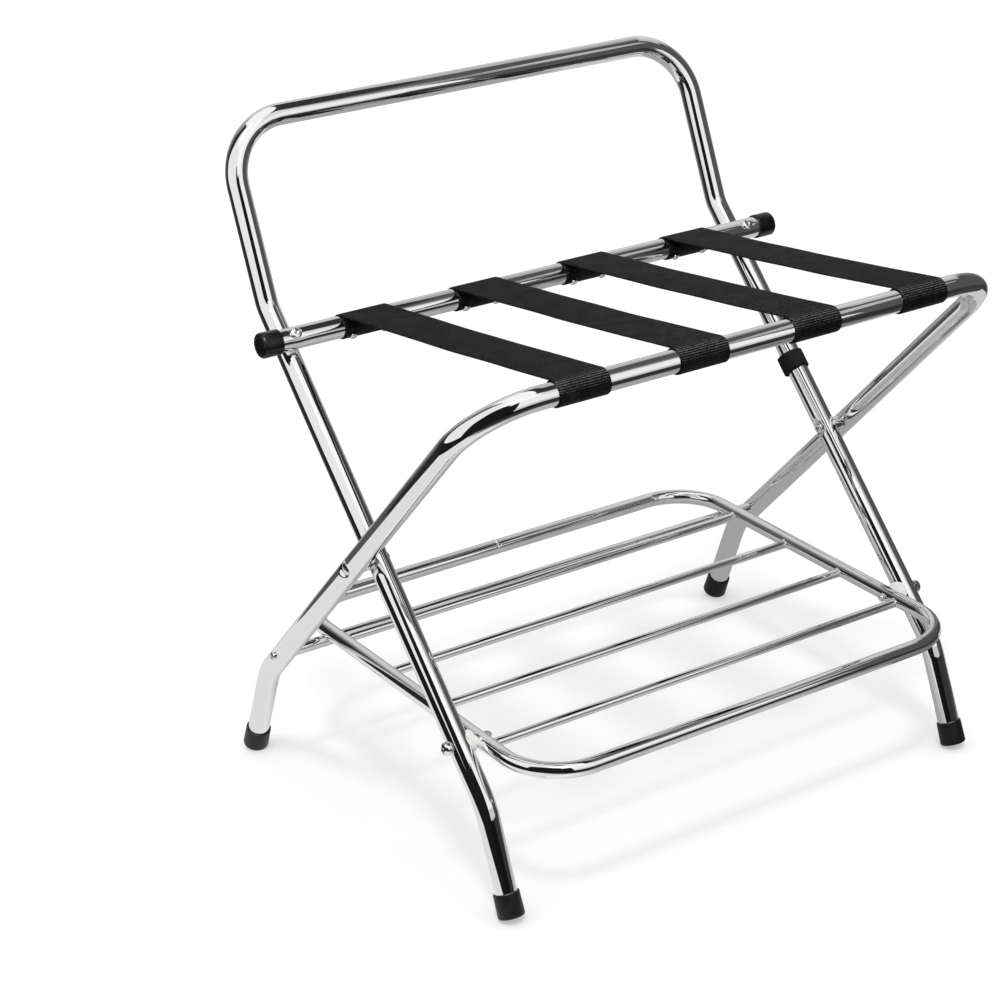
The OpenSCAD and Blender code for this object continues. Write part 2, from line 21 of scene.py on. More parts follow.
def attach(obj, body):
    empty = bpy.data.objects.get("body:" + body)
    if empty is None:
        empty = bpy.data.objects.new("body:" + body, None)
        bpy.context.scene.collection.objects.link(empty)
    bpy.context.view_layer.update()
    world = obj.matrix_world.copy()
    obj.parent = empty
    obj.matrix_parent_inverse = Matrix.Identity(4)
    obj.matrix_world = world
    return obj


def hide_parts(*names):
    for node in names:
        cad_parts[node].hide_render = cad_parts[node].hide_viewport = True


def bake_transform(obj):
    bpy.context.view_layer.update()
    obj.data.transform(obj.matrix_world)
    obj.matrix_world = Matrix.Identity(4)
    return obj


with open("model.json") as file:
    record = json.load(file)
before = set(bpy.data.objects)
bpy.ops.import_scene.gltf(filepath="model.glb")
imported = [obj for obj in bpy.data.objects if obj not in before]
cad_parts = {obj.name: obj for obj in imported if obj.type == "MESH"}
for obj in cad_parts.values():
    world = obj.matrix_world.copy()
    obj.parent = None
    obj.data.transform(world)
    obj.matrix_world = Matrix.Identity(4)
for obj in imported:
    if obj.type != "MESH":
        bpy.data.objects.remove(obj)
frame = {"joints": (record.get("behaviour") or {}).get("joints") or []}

log = logging.getLogger("rack")
Array = np.ndarray
Span = tuple[float, float]
Triple = tuple[float, float, float]
Rgb = Triple
MM = 0.001
MERGE = 2e-6
SLIVER = 1e-7
X_AXIS = np.array([1.0, 0.0, 0.0])
Z_AXIS = np.array([0.0, 0.0, 1.0])


# ---- Small geometry ----


def unit(v: Array) -> Array:
    """Vector of length 1 along v."""
    return v / np.linalg.norm(v)


def polar(length: float, degrees: float) -> Array:
    """Side-view vector (y, z) of a length at an angle from +Y."""
    return length * np.array([math.cos(math.radians(degrees)), math.sin(math.radians(degrees))])


def at(x: float, side_point: Array) -> Array:
    """Point in space from its x and its place in the side view."""
    return np.array([x, side_point[0], side_point[1]])


def around(sides: int) -> Array:
    """Angles round a full turn, with the first one again at the end."""
    return np.linspace(0, 2 * math.pi, sides + 1)


def unit_circle(sides: int) -> Array:
    """Points round a circle of radius 1, as (cosine, sine) pairs."""
    turn = around(sides)[:-1]
    return np.column_stack([np.cos(turn), np.sin(turn)])


def texture(across: Array, along: Array) -> Array:
    """Texture coordinates of a grid, from its columns' and its rows'."""
    return np.stack(np.broadcast_arrays(across[None, :], along[:, None]), -1)


def smooth_min(a: Array, b: Array, blend: float) -> Array:
    """Lower of two surfaces, with the crease between them rounded.

    Args:
        a: Heights of the first surface.
        b: Heights of the second surface.
        blend: Height over which the crease is rounded.

    Returns:
        The blended heights.
    """
    share = np.clip(0.5 + 0.5 * (b - a) / blend, 0, 1)
    return b * (1 - share) + a * share - blend * share * (1 - share)


def smooth_step(low: float, high: float, value: Array) -> Array:
    """0 below low, 1 above high and a smooth rise between them."""
    t = np.clip((value - low) / (high - low), 0, 1)
    return t * t * (3 - 2 * t)


def standing(origin: Array, direction: Array, spin: float = 0.0) -> Array:
    """Placing that stands a shape at a point with its Z along a direction.

    Args:
        origin: Where the shape's own origin goes.
        direction: Where its Z goes.
        spin: Turn about its own Z first, in degrees.

    Returns:
        A 4 x 4 matrix.
    """
    z = unit(np.asarray(direction, float))
    x = unit(np.cross([0.0, 1.0, 0.0] if abs(z[0]) > 0.9 else X_AXIS, z))
    y = np.cross(z, x)
    c, s = math.cos(math.radians(spin)), math.sin(math.radians(spin))
    matrix = np.eye(4)
    matrix[:3, 0], matrix[:3, 1], matrix[:3, 2], matrix[:3, 3] = c * x + s * y, c * y - s * x, z, origin
    return matrix


def placed(co: Array, matrix: Array) -> Array:
    """Points carried by a placing."""
    return co @ matrix[:3, :3].T + matrix[:3, 3]


def rounded(points: Sequence[Span], radii: Sequence[float], steps: int = 5) -> Array:
    """Open line of points whose inner corners are rounded.

    Args:
        points: Corners as (radius, height) pairs.
        radii: Fillet at each corner; the two ends take 0.
        steps: Segments in each fillet.

    Returns:
        The rounded line's points.
    """
    corners = [np.array(p, float) for p in points]
    out = [corners[0]]
    for i in range(1, len(corners) - 1):
        if radii[i] <= 0:
            out.append(corners[i])
            continue
        into, away = unit(corners[i] - corners[i - 1]), unit(corners[i + 1] - corners[i])
        turn = math.acos(float(np.clip(into @ away, -1, 1)))
        inward = unit(away - (into @ away) * into)
        start = corners[i] - radii[i] * math.tan(turn / 2) * into
        for t in np.linspace(0, turn, steps + 1):
            out.append(start + radii[i] * (inward * (1 - math.cos(t)) + into * math.sin(t)))
    out.append(corners[-1])
    return np.array(out)


@dataclass
class Stations:
    """Places along a bent bar's axis, with the directions across it."""

    points: Array
    tangents: Array
    closed: bool
    hint: Array

    @cached_property
    def normals(self) -> Array:
        """One direction across the bar at each place, carried along without twist.

        Returns:
            A unit vector for each place.
        """
        out, n = [], self.hint
        for t in self.tangents:
            n = unit(n - (n @ t) * t)
            out.append(n)
        return np.array(out)

    @cached_property
    def lengths(self) -> Array:
        """Distance along the bar at each place."""
        steps = np.linalg.norm(np.diff(self.points, axis=0), axis=1)
        return np.concatenate([[0.0], np.cumsum(steps)])


@dataclass(frozen=True)
class Closer:
    """Stretch of a bar that takes its stations close together."""

    centre: Array
    reach: float
    step: float

    def marks(self, start: Array, along: Array) -> set[float]:
        """Distances of its stations along a straight.

        Args:
            start: Where the straight starts.
            along: The straight's direction.

        Returns:
            The distances; none where the straight passes it by.
        """
        middle = float((self.centre - start) @ along)
        if np.linalg.norm(start + middle * along - self.centre) >= self.reach:
            return set()
        return set(np.arange(middle - self.reach, middle + self.reach + self.step / 2, self.step))


def stations(
    corners: Sequence[Array],
    radii: Sequence[float],
    hint: Array,
    closed: bool = False,
    closer: Sequence[Closer] = (),
    arc_step: float = 2.5,
    straight_step: float = 60.0,
    least_step: float = 0.2,
) -> Stations:
    """Walks along a line of corners, each with its own bend radius.

    Args:
        corners: Corner points of the bar's axis.
        radii: Bend radius at each corner.
        hint: A direction across the bar at its start.
        closed: Whether the bar closes on itself.
        closer: Stretches that need close stations.
        arc_step: Turn between stations in a bend, in degrees.
        straight_step: Longest distance between stations on a straight.
        least_step: Shortest distance between stations on a straight.

    Returns:
        The stations.
    """
    n, arcs = len(corners), {}
    for i in range(n) if closed else range(1, n - 1):
        before, here, after = corners[i - 1], corners[i], corners[(i + 1) % n]
        into, out = unit(here - before), unit(after - here)
        turn = math.acos(float(np.clip(into @ out, -1, 1)))
        inward = unit(out - (into @ out) * into)
        centre = here - radii[i] * math.tan(turn / 2) * into + radii[i] * inward
        angles = np.linspace(0, turn, max(2, math.ceil(math.degrees(turn) / arc_step)) + 1)[:, None]
        arcs[i] = (
            centre + radii[i] * (np.sin(angles) * into - np.cos(angles) * inward),
            np.cos(angles) * into + np.sin(angles) * inward,
        )
    points: list[Array] = []
    tangents: list[Array] = []

    def run(end: Array) -> None:
        """Adds the stations inside the straight from the last point to its end.

        Args:
            end: Where the straight ends.
        """
        start, span = points[-1], end - points[-1]
        length = float(np.linalg.norm(span))
        along = span / length
        marks = set(np.linspace(0, length, max(1, math.ceil(length / straight_step)) + 1))
        marks = marks.union(*(near.marks(start, along) for near in closer))
        kept = 0.0
        for mark in sorted(marks):
            if kept + least_step < mark < length - least_step:
                points.append(start + mark * along)
                tangents.append(along)
                kept = mark

    if closed:
        points, tangents = list(arcs[0][0]), list(arcs[0][1])
    else:
        points, tangents = [corners[0]], [unit(corners[1] - corners[0])]
    for i in range(1, n):
        line, heading = arcs.get(i, (np.array([corners[i]]), np.array([unit(corners[i] - corners[i - 1])])))
        run(line[0])
        points += list(line)
        tangents += list(heading)
    if closed:
        run(arcs[0][0][0])
    return Stations(np.array(points), np.array(tangents), closed, hint)


# ---- Meshes ----


def linked(name: str, data: bpy.types.ID) -> bpy.types.Object:
    """Makes an object and links it to the scene.

    Args:
        name: Its name.
        data: Its mesh, lamp or camera.

    Returns:
        The object.
    """
    made = bpy.data.objects.new(name, data)
    bpy.context.scene.collection.objects.link(made)
    return made


class MeshBuild:
    """Collects grids, turned shapes and copies into one mesh with texture coordinates in metres."""

    def __init__(self) -> None:
        """Starts an empty mesh."""
        self.co: list[Array] = []
        self.faces: list[tuple[int, ...]] = []
        self.uvs: list[Array] = []
        self.count = 0

    def grid(
        self, co: Array, uv: Array, wrap: bool = True, loop: bool = False, caps: bool = False
    ) -> "MeshBuild":
        """Adds rows of points as a surface.

        Args:
            co: Points, rows x columns x 3.
            uv: Texture coordinates in mm; one column more where the rows wrap, one row more in a loop.
            wrap: Whether each row closes on itself.
            loop: Whether the last row joins the first.
            caps: Whether the first and last rows are filled.

        Returns:
            This build.
        """
        rows, cols = co.shape[:2]
        base = self.count
        for i in range(rows if loop else rows - 1):
            for j in range(cols if wrap else cols - 1):
                here, down, over = base + i * cols, base + (i + 1) % rows * cols, (j + 1) % cols
                self.faces.append((here + j, here + over, down + over, down + j))
                self.uvs += [uv[i, j], uv[i, j + 1], uv[i + 1, j + 1], uv[i + 1, j]]
        if caps:
            for row in (0, rows - 1):
                self.faces.append(tuple(base + row * cols + j for j in range(cols)))
                self.uvs += [uv[row, j] for j in range(cols)]
        self.co.append(co.reshape(-1, 3))
        self.count += rows * cols
        return self

    def lathe(self, profile: Array, matrix: Array, sides: int = 64) -> "MeshBuild":
        """Adds a shape turned about its own Z.

        Args:
            profile: (radius, height) pairs; a radius of 0 closes the shape.
            matrix: Where it stands.
            sides: Facets round it.

        Returns:
            This build.
        """
        turn = around(sides)
        r, h = profile[:, 0][:, None], profile[:, 1][:, None]
        co = np.stack([r * np.cos(turn[:-1]), r * np.sin(turn[:-1]), h + 0 * turn[:-1]], -1)
        run = np.concatenate([[0.0], np.cumsum(np.linalg.norm(np.diff(profile, axis=0), axis=1))])
        return self.grid(placed(co, matrix), texture(turn * profile[:, 0].max(), run))

    def tube(
        self,
        line: Stations,
        radius: float,
        wall: float,
        sides: int,
        press: Callable[[Array, float], Array],
    ) -> "MeshBuild":
        """Adds a hollow bent tube.

        Args:
            line: Its axis.
            radius: Its outside radius.
            wall: Its wall.
            sides: Facets round it.
            press: Moves the points of a skin that lies a wall below the outside.

        Returns:
            This build.
        """
        turn = around(sides)
        cos, sin = np.cos(turn[:-1])[None, :, None], np.sin(turn[:-1])[None, :, None]
        ring = cos * line.normals[:, None] + sin * np.cross(line.tangents, line.normals)[:, None]
        lengths = line.lengths
        if line.closed:
            closing = np.linalg.norm(line.points[0] - line.points[-1])
            lengths = np.append(lengths, lengths[-1] + closing)
        uv = texture(turn * radius, lengths)
        skins = []
        for depth in (0.0, wall):
            co = line.points[:, None] + (radius - depth) * ring
            skins.append(press(co.reshape(-1, 3), depth).reshape(co.shape))
            self.grid(skins[-1], uv, loop=line.closed)
        if not line.closed:
            for end in (0, -1):
                self.grid(np.array([skins[0][end], skins[1][end]]), uv[:2])
        return self

    def copies(self, other: "MeshBuild", places: Iterable[Array]) -> "MeshBuild":
        """Adds another build's mesh at some places.

        Args:
            other: What is copied.
            places: Where each copy stands.

        Returns:
            This build.
        """
        co = np.concatenate(other.co)
        for matrix in places:
            self.faces += [tuple(self.count + k for k in face) for face in other.faces]
            self.uvs += other.uvs
            self.co.append(placed(co, matrix))
            self.count += len(co)
        return self

    def moved(self, change: Callable[[Array], Array]) -> "MeshBuild":
        """Passes every point through a change of place."""
        self.co = [change(np.concatenate(self.co))]
        return self

    def carved(self, cutter: "MeshBuild") -> "MeshBuild":
        """Takes another build's solid out of this one.

        Args:
            cutter: The solid to take away.

        Returns:
            A new build of what is left.
        """
        body, tool = self.piece("carve_body"), cutter.piece("carve_tool")
        cut = body.modifiers.new("cut", "BOOLEAN")
        cut.operation, cut.solver, cut.object = "DIFFERENCE", "EXACT", tool
        shape = body.evaluated_get(bpy.context.evaluated_depsgraph_get()).to_mesh()
        left = MeshBuild()
        left.co = [np.array([v.co for v in shape.vertices], float) / MM]
        left.count = len(shape.vertices)
        left.faces = [tuple(p.vertices) for p in shape.polygons]
        layer = shape.uv_layers.active
        left.uvs = [np.array(layer.data[i].uv) / MM for p in shape.polygons for i in p.loop_indices]
        for spare in (body, tool):
            mesh = spare.data
            bpy.data.objects.remove(spare)
            bpy.data.meshes.remove(mesh)
        return left

    def piece(self, name: str, crease: float = 35.0) -> bpy.types.Object:
        """Makes the object.

        Args:
            name: Its name.
            crease: Edges that bend more than this many degrees stay sharp.

        Returns:
            The new object, linked to the scene.
        """
        mesh = bpy.data.meshes.new(name)
        mesh.from_pydata((np.concatenate(self.co) * MM).tolist(), [], self.faces)
        layer = mesh.uv_layers.new(name="UVMap")
        layer.data.foreach_set("uv", (np.array(self.uvs, float) * MM).ravel())
        work = bmesh.new()
        work.from_mesh(mesh)
        bmesh.ops.remove_doubles(work, verts=work.verts, dist=MERGE)
        bmesh.ops.dissolve_degenerate(work, edges=work.edges, dist=SLIVER)
        bmesh.ops.recalc_face_normals(work, faces=work.faces)
        work.to_mesh(mesh)
        work.free()
        mesh.shade_smooth()
        mesh.set_sharp_from_angle(angle=math.radians(crease))
        return linked(name, mesh)


# ---- Finishes ----


class Sock:
    """One node output; arithmetic on it adds Math nodes."""

    def __init__(self, graph: "Graph", socket: bpy.types.NodeSocket) -> None:
        """Wraps an output socket of a graph."""
        self.graph = graph
        self.socket = socket

    def math(self, operation: str, *values: "Sock | float", clamp: bool = False) -> "Sock":
        """Math node on some values."""
        settings = {"operation": operation, "use_clamp": clamp}
        return self.graph.add("ShaderNodeMath", settings, dict(enumerate(values)))

    def __add__(self, other: "Sock | float") -> "Sock":
        """Sum."""
        return self.math("ADD", self, other)

    def __sub__(self, other: "Sock | float") -> "Sock":
        """Difference."""
        return self.math("SUBTRACT", self, other)

    def __rsub__(self, other: float) -> "Sock":
        """Difference from a number."""
        return self.math("SUBTRACT", other, self)

    def __mul__(self, other: "Sock | float") -> "Sock":
        """Product."""
        return self.math("MULTIPLY", self, other)

    def __truediv__(self, other: "Sock | float") -> "Sock":
        """Quotient."""
        return self.math("DIVIDE", self, other)

    def __rtruediv__(self, other: float) -> "Sock":
        """Quotient of a number."""
        return self.math("DIVIDE", other, self)

    __radd__ = __add__
    __rmul__ = __mul__

    def wave(self) -> "Sock":
        """Sine of this value."""
        return self.math("SINE", self)

    def size(self) -> "Sock":
        """Absolute value."""
        return self.math("ABSOLUTE", self)

    def floor(self) -> "Sock":
        """Whole part."""
        return self.math("FLOOR", self)

    def held(self) -> "Sock":
        """Value held between 0 and 1."""
        return self.math("ADD", self, 0.0, clamp=True)

    def rise(self, low: float, high: float) -> "Sock":
        """Straight rise from 0 at low to 1 at high, held outside."""
        return ((self - low) * (1 / (high - low))).held()


class Graph:
    """A node tree with one way to add a node."""

    def __init__(self, tree: bpy.types.NodeTree) -> None:
        """Takes over a node tree and empties it."""
        self.tree = tree
        tree.nodes.clear()

    def add(
        self,
        kind: str,
        settings: dict[str, object],
        inputs: dict[str | int, object],
        output: int | str = 0,
    ) -> Sock:
        """Adds a node.

        Args:
            kind: The node's type.
            settings: Attributes to set first, by name.
            inputs: Values or links by socket name or number.
            output: The output that is wanted.

        Returns:
            That output; an empty one for a node without outputs.
        """
        node = self.tree.nodes.new(kind)
        for key, value in settings.items():
            setattr(node, key, value)
        for key, value in inputs.items():
            if isinstance(value, Sock):
                self.tree.links.new(value.socket, node.inputs[key])
            else:
                node.inputs[key].default_value = value
        return Sock(self, node.outputs[output] if node.outputs else None)

    def noise(self, vector: Sock, scale: float | Triple, detail: float = 2.0, rough: float = 0.5) -> Sock:
        """Noise between 0 and 1 over a vector.

        Args:
            vector: The coordinates.
            scale: How often it changes in a metre, alike or along each axis.
            detail: How many finer layers it has.
            rough: How strong those are.

        Returns:
            The noise.
        """
        if isinstance(scale, tuple):
            vector = self.add("ShaderNodeVectorMath", {"operation": "MULTIPLY"}, {0: vector, 1: scale})
            scale = 1.0
        inputs = {"Vector": vector, "Scale": scale, "Detail": detail, "Roughness": rough}
        return self.add("ShaderNodeTexNoise", {}, inputs)

    def tint(self, dark: Rgb | Sock, light: Rgb, factor: Sock) -> Sock:
        """Colour between two, by a factor.

        Args:
            dark: Colour where the factor is 0.
            light: Colour where it is 1.
            factor: The factor.

        Returns:
            The colour.
        """
        first = dark if isinstance(dark, Sock) else (*dark, 1.0)
        inputs = {"Factor": factor, 6: first, 7: (*light, 1.0)}
        return self.add("ShaderNodeMix", {"data_type": "RGBA"}, inputs, 2)

    def bump(self, height: Sock, depth: float) -> Sock:
        """Normal of a relief that is depth metres high."""
        return self.add("ShaderNodeBump", {}, {"Height": height, "Strength": 1.0, "Distance": depth})

    def coordinates(self, output: str) -> Sock:
        """Texture coordinates: UV in metres, or Object."""
        return self.add("ShaderNodeTexCoord", {}, {}, output)

    def part(self, vector: Sock, axis: str) -> Sock:
        """One part of a vector, by its letter."""
        return self.add("ShaderNodeSeparateXYZ", {}, {0: vector}, axis)

    def surface(self, inputs: dict[str, object]) -> Sock:
        """Shader of a plain or metal surface, from its inputs."""
        return self.add("ShaderNodeBsdfPrincipled", {}, inputs)


@dataclass(frozen=True)
class Finish:
    """Surface of one material; each kind adds its own relief and wear."""

    name: str
    slot: str

    def material(self) -> bpy.types.Material:
        """The material, made once and then shared.

        Returns:
            The material.
        """
        found = bpy.data.materials.get(self.name)
        if found is None:
            found = bpy.data.materials.new(self.name)
            found.use_nodes = True
            graph = Graph(found.node_tree)
            graph.add("ShaderNodeOutputMaterial", {}, {"Surface": self.shader(graph)})
        return found

    def shader(self, graph: Graph) -> Sock:
        """Shader of the whole surface."""
        raise NotImplementedError


@dataclass(frozen=True)
class Chrome(Finish):
    """Bright chrome plate on drawn tube: soft waves, a fine grain, polishing lines and faint stains."""

    name: str = "chrome_plate"
    slot: str = "chromed_tube"
    bright: Rgb = (0.90, 0.90, 0.905)
    stained: Rgb = (0.78, 0.78, 0.78)
    wave_scale: Triple = (70.0, 9.0, 1.0)
    line_scale: Triple = (2200.0, 18.0, 1.0)
    stain_scale: Triple = (60.0, 25.0, 1.0)
    grain_scale: float = 650.0
    wave_depth: float = 0.00003
    grain_depth: float = 0.000004
    roughness: float = 0.03
    line_dulling: float = 0.03
    line_range: Span = (0.45, 0.75)
    stain_dulling: float = 0.05
    stain_dull_range: Span = (0.58, 0.8)
    stain_range: Span = (0.62, 0.85)

    def shader(self, graph: Graph) -> Sock:
        """Shader of the plate.

        Args:
            graph: Its node tree.

        Returns:
            The shader.
        """
        uv = graph.coordinates("UV")
        waves = graph.noise(uv, self.wave_scale, 1.5)
        lines = graph.noise(uv, self.line_scale).rise(*self.line_range)
        stains = graph.noise(uv, self.stain_scale, 5.0, 0.65)
        grain = graph.noise(graph.coordinates("Object"), self.grain_scale, 3.0, 0.6)
        dulled = self.line_dulling * lines + self.stain_dulling * stains.rise(*self.stain_dull_range)
        return graph.surface(
            {
                "Base Color": graph.tint(self.bright, self.stained, stains.rise(*self.stain_range)),
                "Metallic": 1.0,
                "Roughness": self.roughness + dulled,
                "Normal": graph.bump(waves + grain * (self.grain_depth / self.wave_depth), self.wave_depth),
            }
        )


@dataclass(frozen=True)
class Plated(Finish):
    """Bright zinc plate of screws, rivets and nuts, duller in its hollows."""

    name: str = "zinc_plate"
    slot: str = "plated_fastener"
    bright: Rgb = (0.88, 0.885, 0.89)
    dull: Rgb = (0.60, 0.60, 0.61)
    cloud_scale: float = 260.0
    grain_scale: float = 2600.0
    grain_depth: float = 0.000006
    roughness: float = 0.11
    cloud_dulling: float = 0.14
    cloud_dull_range: Span = (0.4, 0.8)
    cloud_range: Span = (0.5, 0.8)

    def shader(self, graph: Graph) -> Sock:
        """Shader of the plate.

        Args:
            graph: Its node tree.

        Returns:
            The shader.
        """
        place = graph.coordinates("Object")
        cloud = graph.noise(place, self.cloud_scale, 4.0, 0.6)
        return graph.surface(
            {
                "Base Color": graph.tint(self.bright, self.dull, cloud.rise(*self.cloud_range)),
                "Metallic": 1.0,
                "Roughness": self.roughness + self.cloud_dulling * cloud.rise(*self.cloud_dull_range),
                "Normal": graph.bump(graph.noise(place, self.grain_scale), self.grain_depth),
            }
        )


@dataclass(frozen=True)
class Rubber(Finish):
    """Moulded black rubber: a fine grain, paler scuffs, and dust by the floor."""

    name: str = "moulded_rubber"
    slot: str = "black_rubber"
    black: Rgb = (0.004, 0.004, 0.0043)
    scuffed: Rgb = (0.014, 0.014, 0.0136)
    dust: Rgb = (0.10, 0.097, 0.094)
    dust_height: float = 0.0045
    dust_cover: float = 0.8
    dust_range: Span = (0.35, 0.7)
    scuff_range: Span = (0.48, 0.85)
    cloud_scale: float = 150.0
    grain_scale: float = 1400.0
    grain_depth: float = 0.00002
    roughness: float = 0.3
    cloud_dulling: float = 0.2
    specular: float = 0.34

    def shader(self, graph: Graph) -> Sock:
        """Shader of the rubber.

        Args:
            graph: Its node tree.

        Returns:
            The shader.
        """
        place = graph.coordinates("Object")
        cloud = graph.noise(place, self.cloud_scale, 5.0, 0.65)
        low = 1.0 - graph.part(place, "Z").rise(0.0, self.dust_height)
        body = graph.tint(self.black, self.scuffed, cloud.rise(*self.scuff_range))
        dusty = low * cloud.rise(*self.dust_range) * self.dust_cover
        return graph.surface(
            {
                "Base Color": graph.tint(body, self.dust, dusty),
                "Roughness": self.roughness + self.cloud_dulling * cloud,
                "Specular IOR Level": self.specular,
                "Normal": graph.bump(graph.noise(place, self.grain_scale, 3.0, 0.6), self.grain_depth),
            }
        )


@dataclass(frozen=True)
class Webbing(Finish):
    """Black ribbed webbing; the ribs are in the mesh, and the yarns that cross them are here.

    bends holds the distances along the webbing between which it runs free of the tubes. From
    there, glint_in and glint_out are the distances over which a painted glint, a highlight painted
    into the base colour, comes and goes on the wraps; glint_least is that painted glint between the yarns.
    """

    name: str = "ribbed_webbing"
    slot: str = "webbing"
    # Painted shade: the colour of the black surface that stands in for the shade between the yarns.
    gap: Rgb = (0.0015, 0.0015, 0.0017)
    deep: Rgb = (0.003, 0.003, 0.0033)
    crest: Rgb = (0.018, 0.018, 0.0185)
    # Painted highlight: the light grey of the glint painted on the yarn crests of the wraps.
    painted_glint: Rgb = (0.24, 0.24, 0.244)
    bends: Span = (0.0, 0.0)
    rib: float = 0.0023
    yarn: float = 0.0016
    yarn_shift: float = 2.4
    yarn_jitter: float = 8.0
    jitter_scale: Triple = (260.0, 435.0, 1.0)
    fuzz_scale: float = 2200.0
    worn_scale: float = 45.0
    speck_scale: float = 420.0
    relief: float = 0.0003
    roughness: float = 0.38
    yarn_gloss: float = 0.14
    specular: float = 0.34
    worn_share: float = 0.35
    crest_range: Span = (0.38, 0.64)
    glint_in: Span = (0.0, 0.006)
    glint_out: Span = (0.009, 0.019)
    glint_least: float = 0.1
    wear_and_glint_range: Span = (0.3, 0.6)
    lit_range: Span = (0.34, 0.98)

    def shader(self, graph: Graph) -> Sock:
        """Yarns with a soft gloss and a painted glint on the wraps, and between them gaps painted black as
        shade.

        Args:
            graph: Its node tree.

        Returns:
            The shader.
        """
        uv, place = graph.coordinates("UV"), graph.coordinates("Object")
        across, along = graph.part(uv, "X"), graph.part(uv, "Y")
        row = along / self.rib
        ribs = (row * math.pi).wave().size()
        jitter = graph.noise(uv, self.jitter_scale, 2.0, 0.7) * self.yarn_jitter
        phase = across * (2 * math.pi / self.yarn) + row.floor() * self.yarn_shift + jitter
        yarns = phase.wave() * 0.5 + 0.5
        fuzz = graph.noise(place, self.fuzz_scale, 3.0, 0.7)
        worn = graph.noise(place, self.worn_scale, 4.0, 0.6)
        speck = graph.noise(place, self.speck_scale, 3.0, 0.6)
        pale = (worn * self.worn_share + speck * (1 - self.worn_share)).rise(*self.crest_range)
        base = graph.tint(self.deep, self.crest, pale)
        # Painted highlight: over a band of each wrap next to where the webbing leaves the span, the rib and
        # yarn crests are lifted towards a light grey, a glint painted into the base colour.
        rear, front = self.bends
        past = along.math("MAXIMUM", rear - along, along - front)
        glint_band = past.rise(*self.glint_in) * (1.0 - past.rise(*self.glint_out))
        spread = (1 - self.glint_least) * yarns * speck.rise(*self.wear_and_glint_range)
        wear_and_glint = glint_band * (self.glint_least + spread) * ribs
        gloss = graph.surface(
            {
                "Base Color": graph.tint(base, self.painted_glint, wear_and_glint),
                "Roughness": self.roughness - self.yarn_gloss * ribs * yarns,
                "Specular IOR Level": self.specular,
                "Normal": graph.bump(ribs * (0.55 + 0.45 * yarns) + 0.06 * fuzz, self.relief),
            }
        )
        # Painted shade: a black surface with no reflection is mixed in where the rib and yarn relief is low,
        # in patches set by two noises, and stands in for the shade between the yarns.
        dark = graph.surface({"Base Color": (*self.gap, 1.0), "Roughness": 1.0, "Specular IOR Level": 0.0})
        height = ribs * (0.3 + 0.7 * yarns) + 0.3 * fuzz
        lit = (height * (0.35 + 0.55 * worn + 0.75 * speck)).rise(*self.lit_range)
        return graph.add("ShaderNodeMixShader", {}, {0: lit, 1: dark, 2: gloss})


@dataclass(frozen=True)
class HookBand(Finish):
    """Black hook-and-loop tape: a field of fine loops, painted darker in their low parts as shade."""

    name: str = "loop_tape"
    slot: str = "band_fabric"
    # Painted shade: deep is the colour of the low parts between the loops.
    deep: Rgb = (0.002, 0.002, 0.0022)
    crest: Rgb = (0.010, 0.010, 0.0105)
    loop_scale: float = 1500.0
    fuzz_scale: float = 2200.0
    loop_share: float = 0.6
    crest_range: Span = (0.3, 1.0)
    relief: float = 0.0002
    roughness: float = 0.8
    specular: float = 0.18

    def shader(self, graph: Graph) -> Sock:
        """Shader of the tape.

        Args:
            graph: Its node tree.

        Returns:
            The shader.
        """
        place = graph.coordinates("Object")
        loops = {"Vector": place, "Scale": self.loop_scale}
        cells = graph.add("ShaderNodeTexVoronoi", {"feature": "F1"}, loops)
        fuzz = graph.noise(place, self.fuzz_scale, 3.0, 0.7)
        height = (1.0 - cells) * self.loop_share + self.loop_share * fuzz
        return graph.surface(
            {
                # Painted shade: the colour runs from deep in the low parts between the loops to crest on
                # their tops.
                "Base Color": graph.tint(self.deep, self.crest, height.rise(*self.crest_range)),
                "Roughness": self.roughness,
                "Specular IOR Level": self.specular,
                "Normal": graph.bump(height, self.relief),
            }
        )


@dataclass(frozen=True)
class Nylon(Finish):
    """White moulded nylon, greyed a little where it rubs."""

    name: str = "white_nylon"
    slot: str = "white_nylon"
    clean: Rgb = (0.90, 0.895, 0.88)
    wear_and_glint: Rgb = (0.62, 0.61, 0.60)
    cloud_scale: float = 220.0
    grain_scale: float = 1800.0
    grain_depth: float = 0.00001
    roughness: float = 0.38
    cloud_dulling: float = 0.15
    wear_and_glint_range: Span = (0.55, 0.85)

    def shader(self, graph: Graph) -> Sock:
        """Shader of the nylon.

        Args:
            graph: Its node tree.

        Returns:
            The shader.
        """
        place = graph.coordinates("Object")
        cloud = graph.noise(place, self.cloud_scale, 4.0, 0.6)
        return graph.surface(
            {
                "Base Color": graph.tint(self.clean, self.wear_and_glint, cloud.rise(*self.wear_and_glint_range)),
                "Roughness": self.roughness + self.cloud_dulling * cloud,
                "Normal": graph.bump(graph.noise(place, self.grain_scale), self.grain_depth),
            }
        )


CHROME, PLATED, RUBBER, HOOK_BAND, NYLON = Chrome(), Plated(), Rubber(), HookBand(), Nylon()
CAP_RUBBER = Rubber("glossy_rubber", black=(0.0035, 0.0035, 0.0038), roughness=0.15, grain_depth=0.000006)


# ---- The rack's own places ----


class Side(Enum):
    """Side of the rack, as its sign along X."""

    LEFT = -1
    RIGHT = 1

    @property
    def word(self) -> str:
        """Its name in the parts' names."""
        return self.name.lower()

    def outward(self, x: float, point: Array, spin: float = 0.0) -> Array:
        """Placing at a distance from the rack's middle, with its Z away from the middle."""
        return standing(at(self.value * x, point), self.value * X_AXIS, spin)

    def inward(self, x: float, point: Array, spin: float = 0.0) -> Array:
        """Placing at a distance from the rack's middle, with its Z towards the middle."""
        return standing(at(self.value * x, point), -self.value * X_AXIS, spin)


class Body(Enum):
    """Moving bodies of the rack."""

    INNER = "inner_side"
    OUTER = "outer_side"
    SHELF = "shelf"


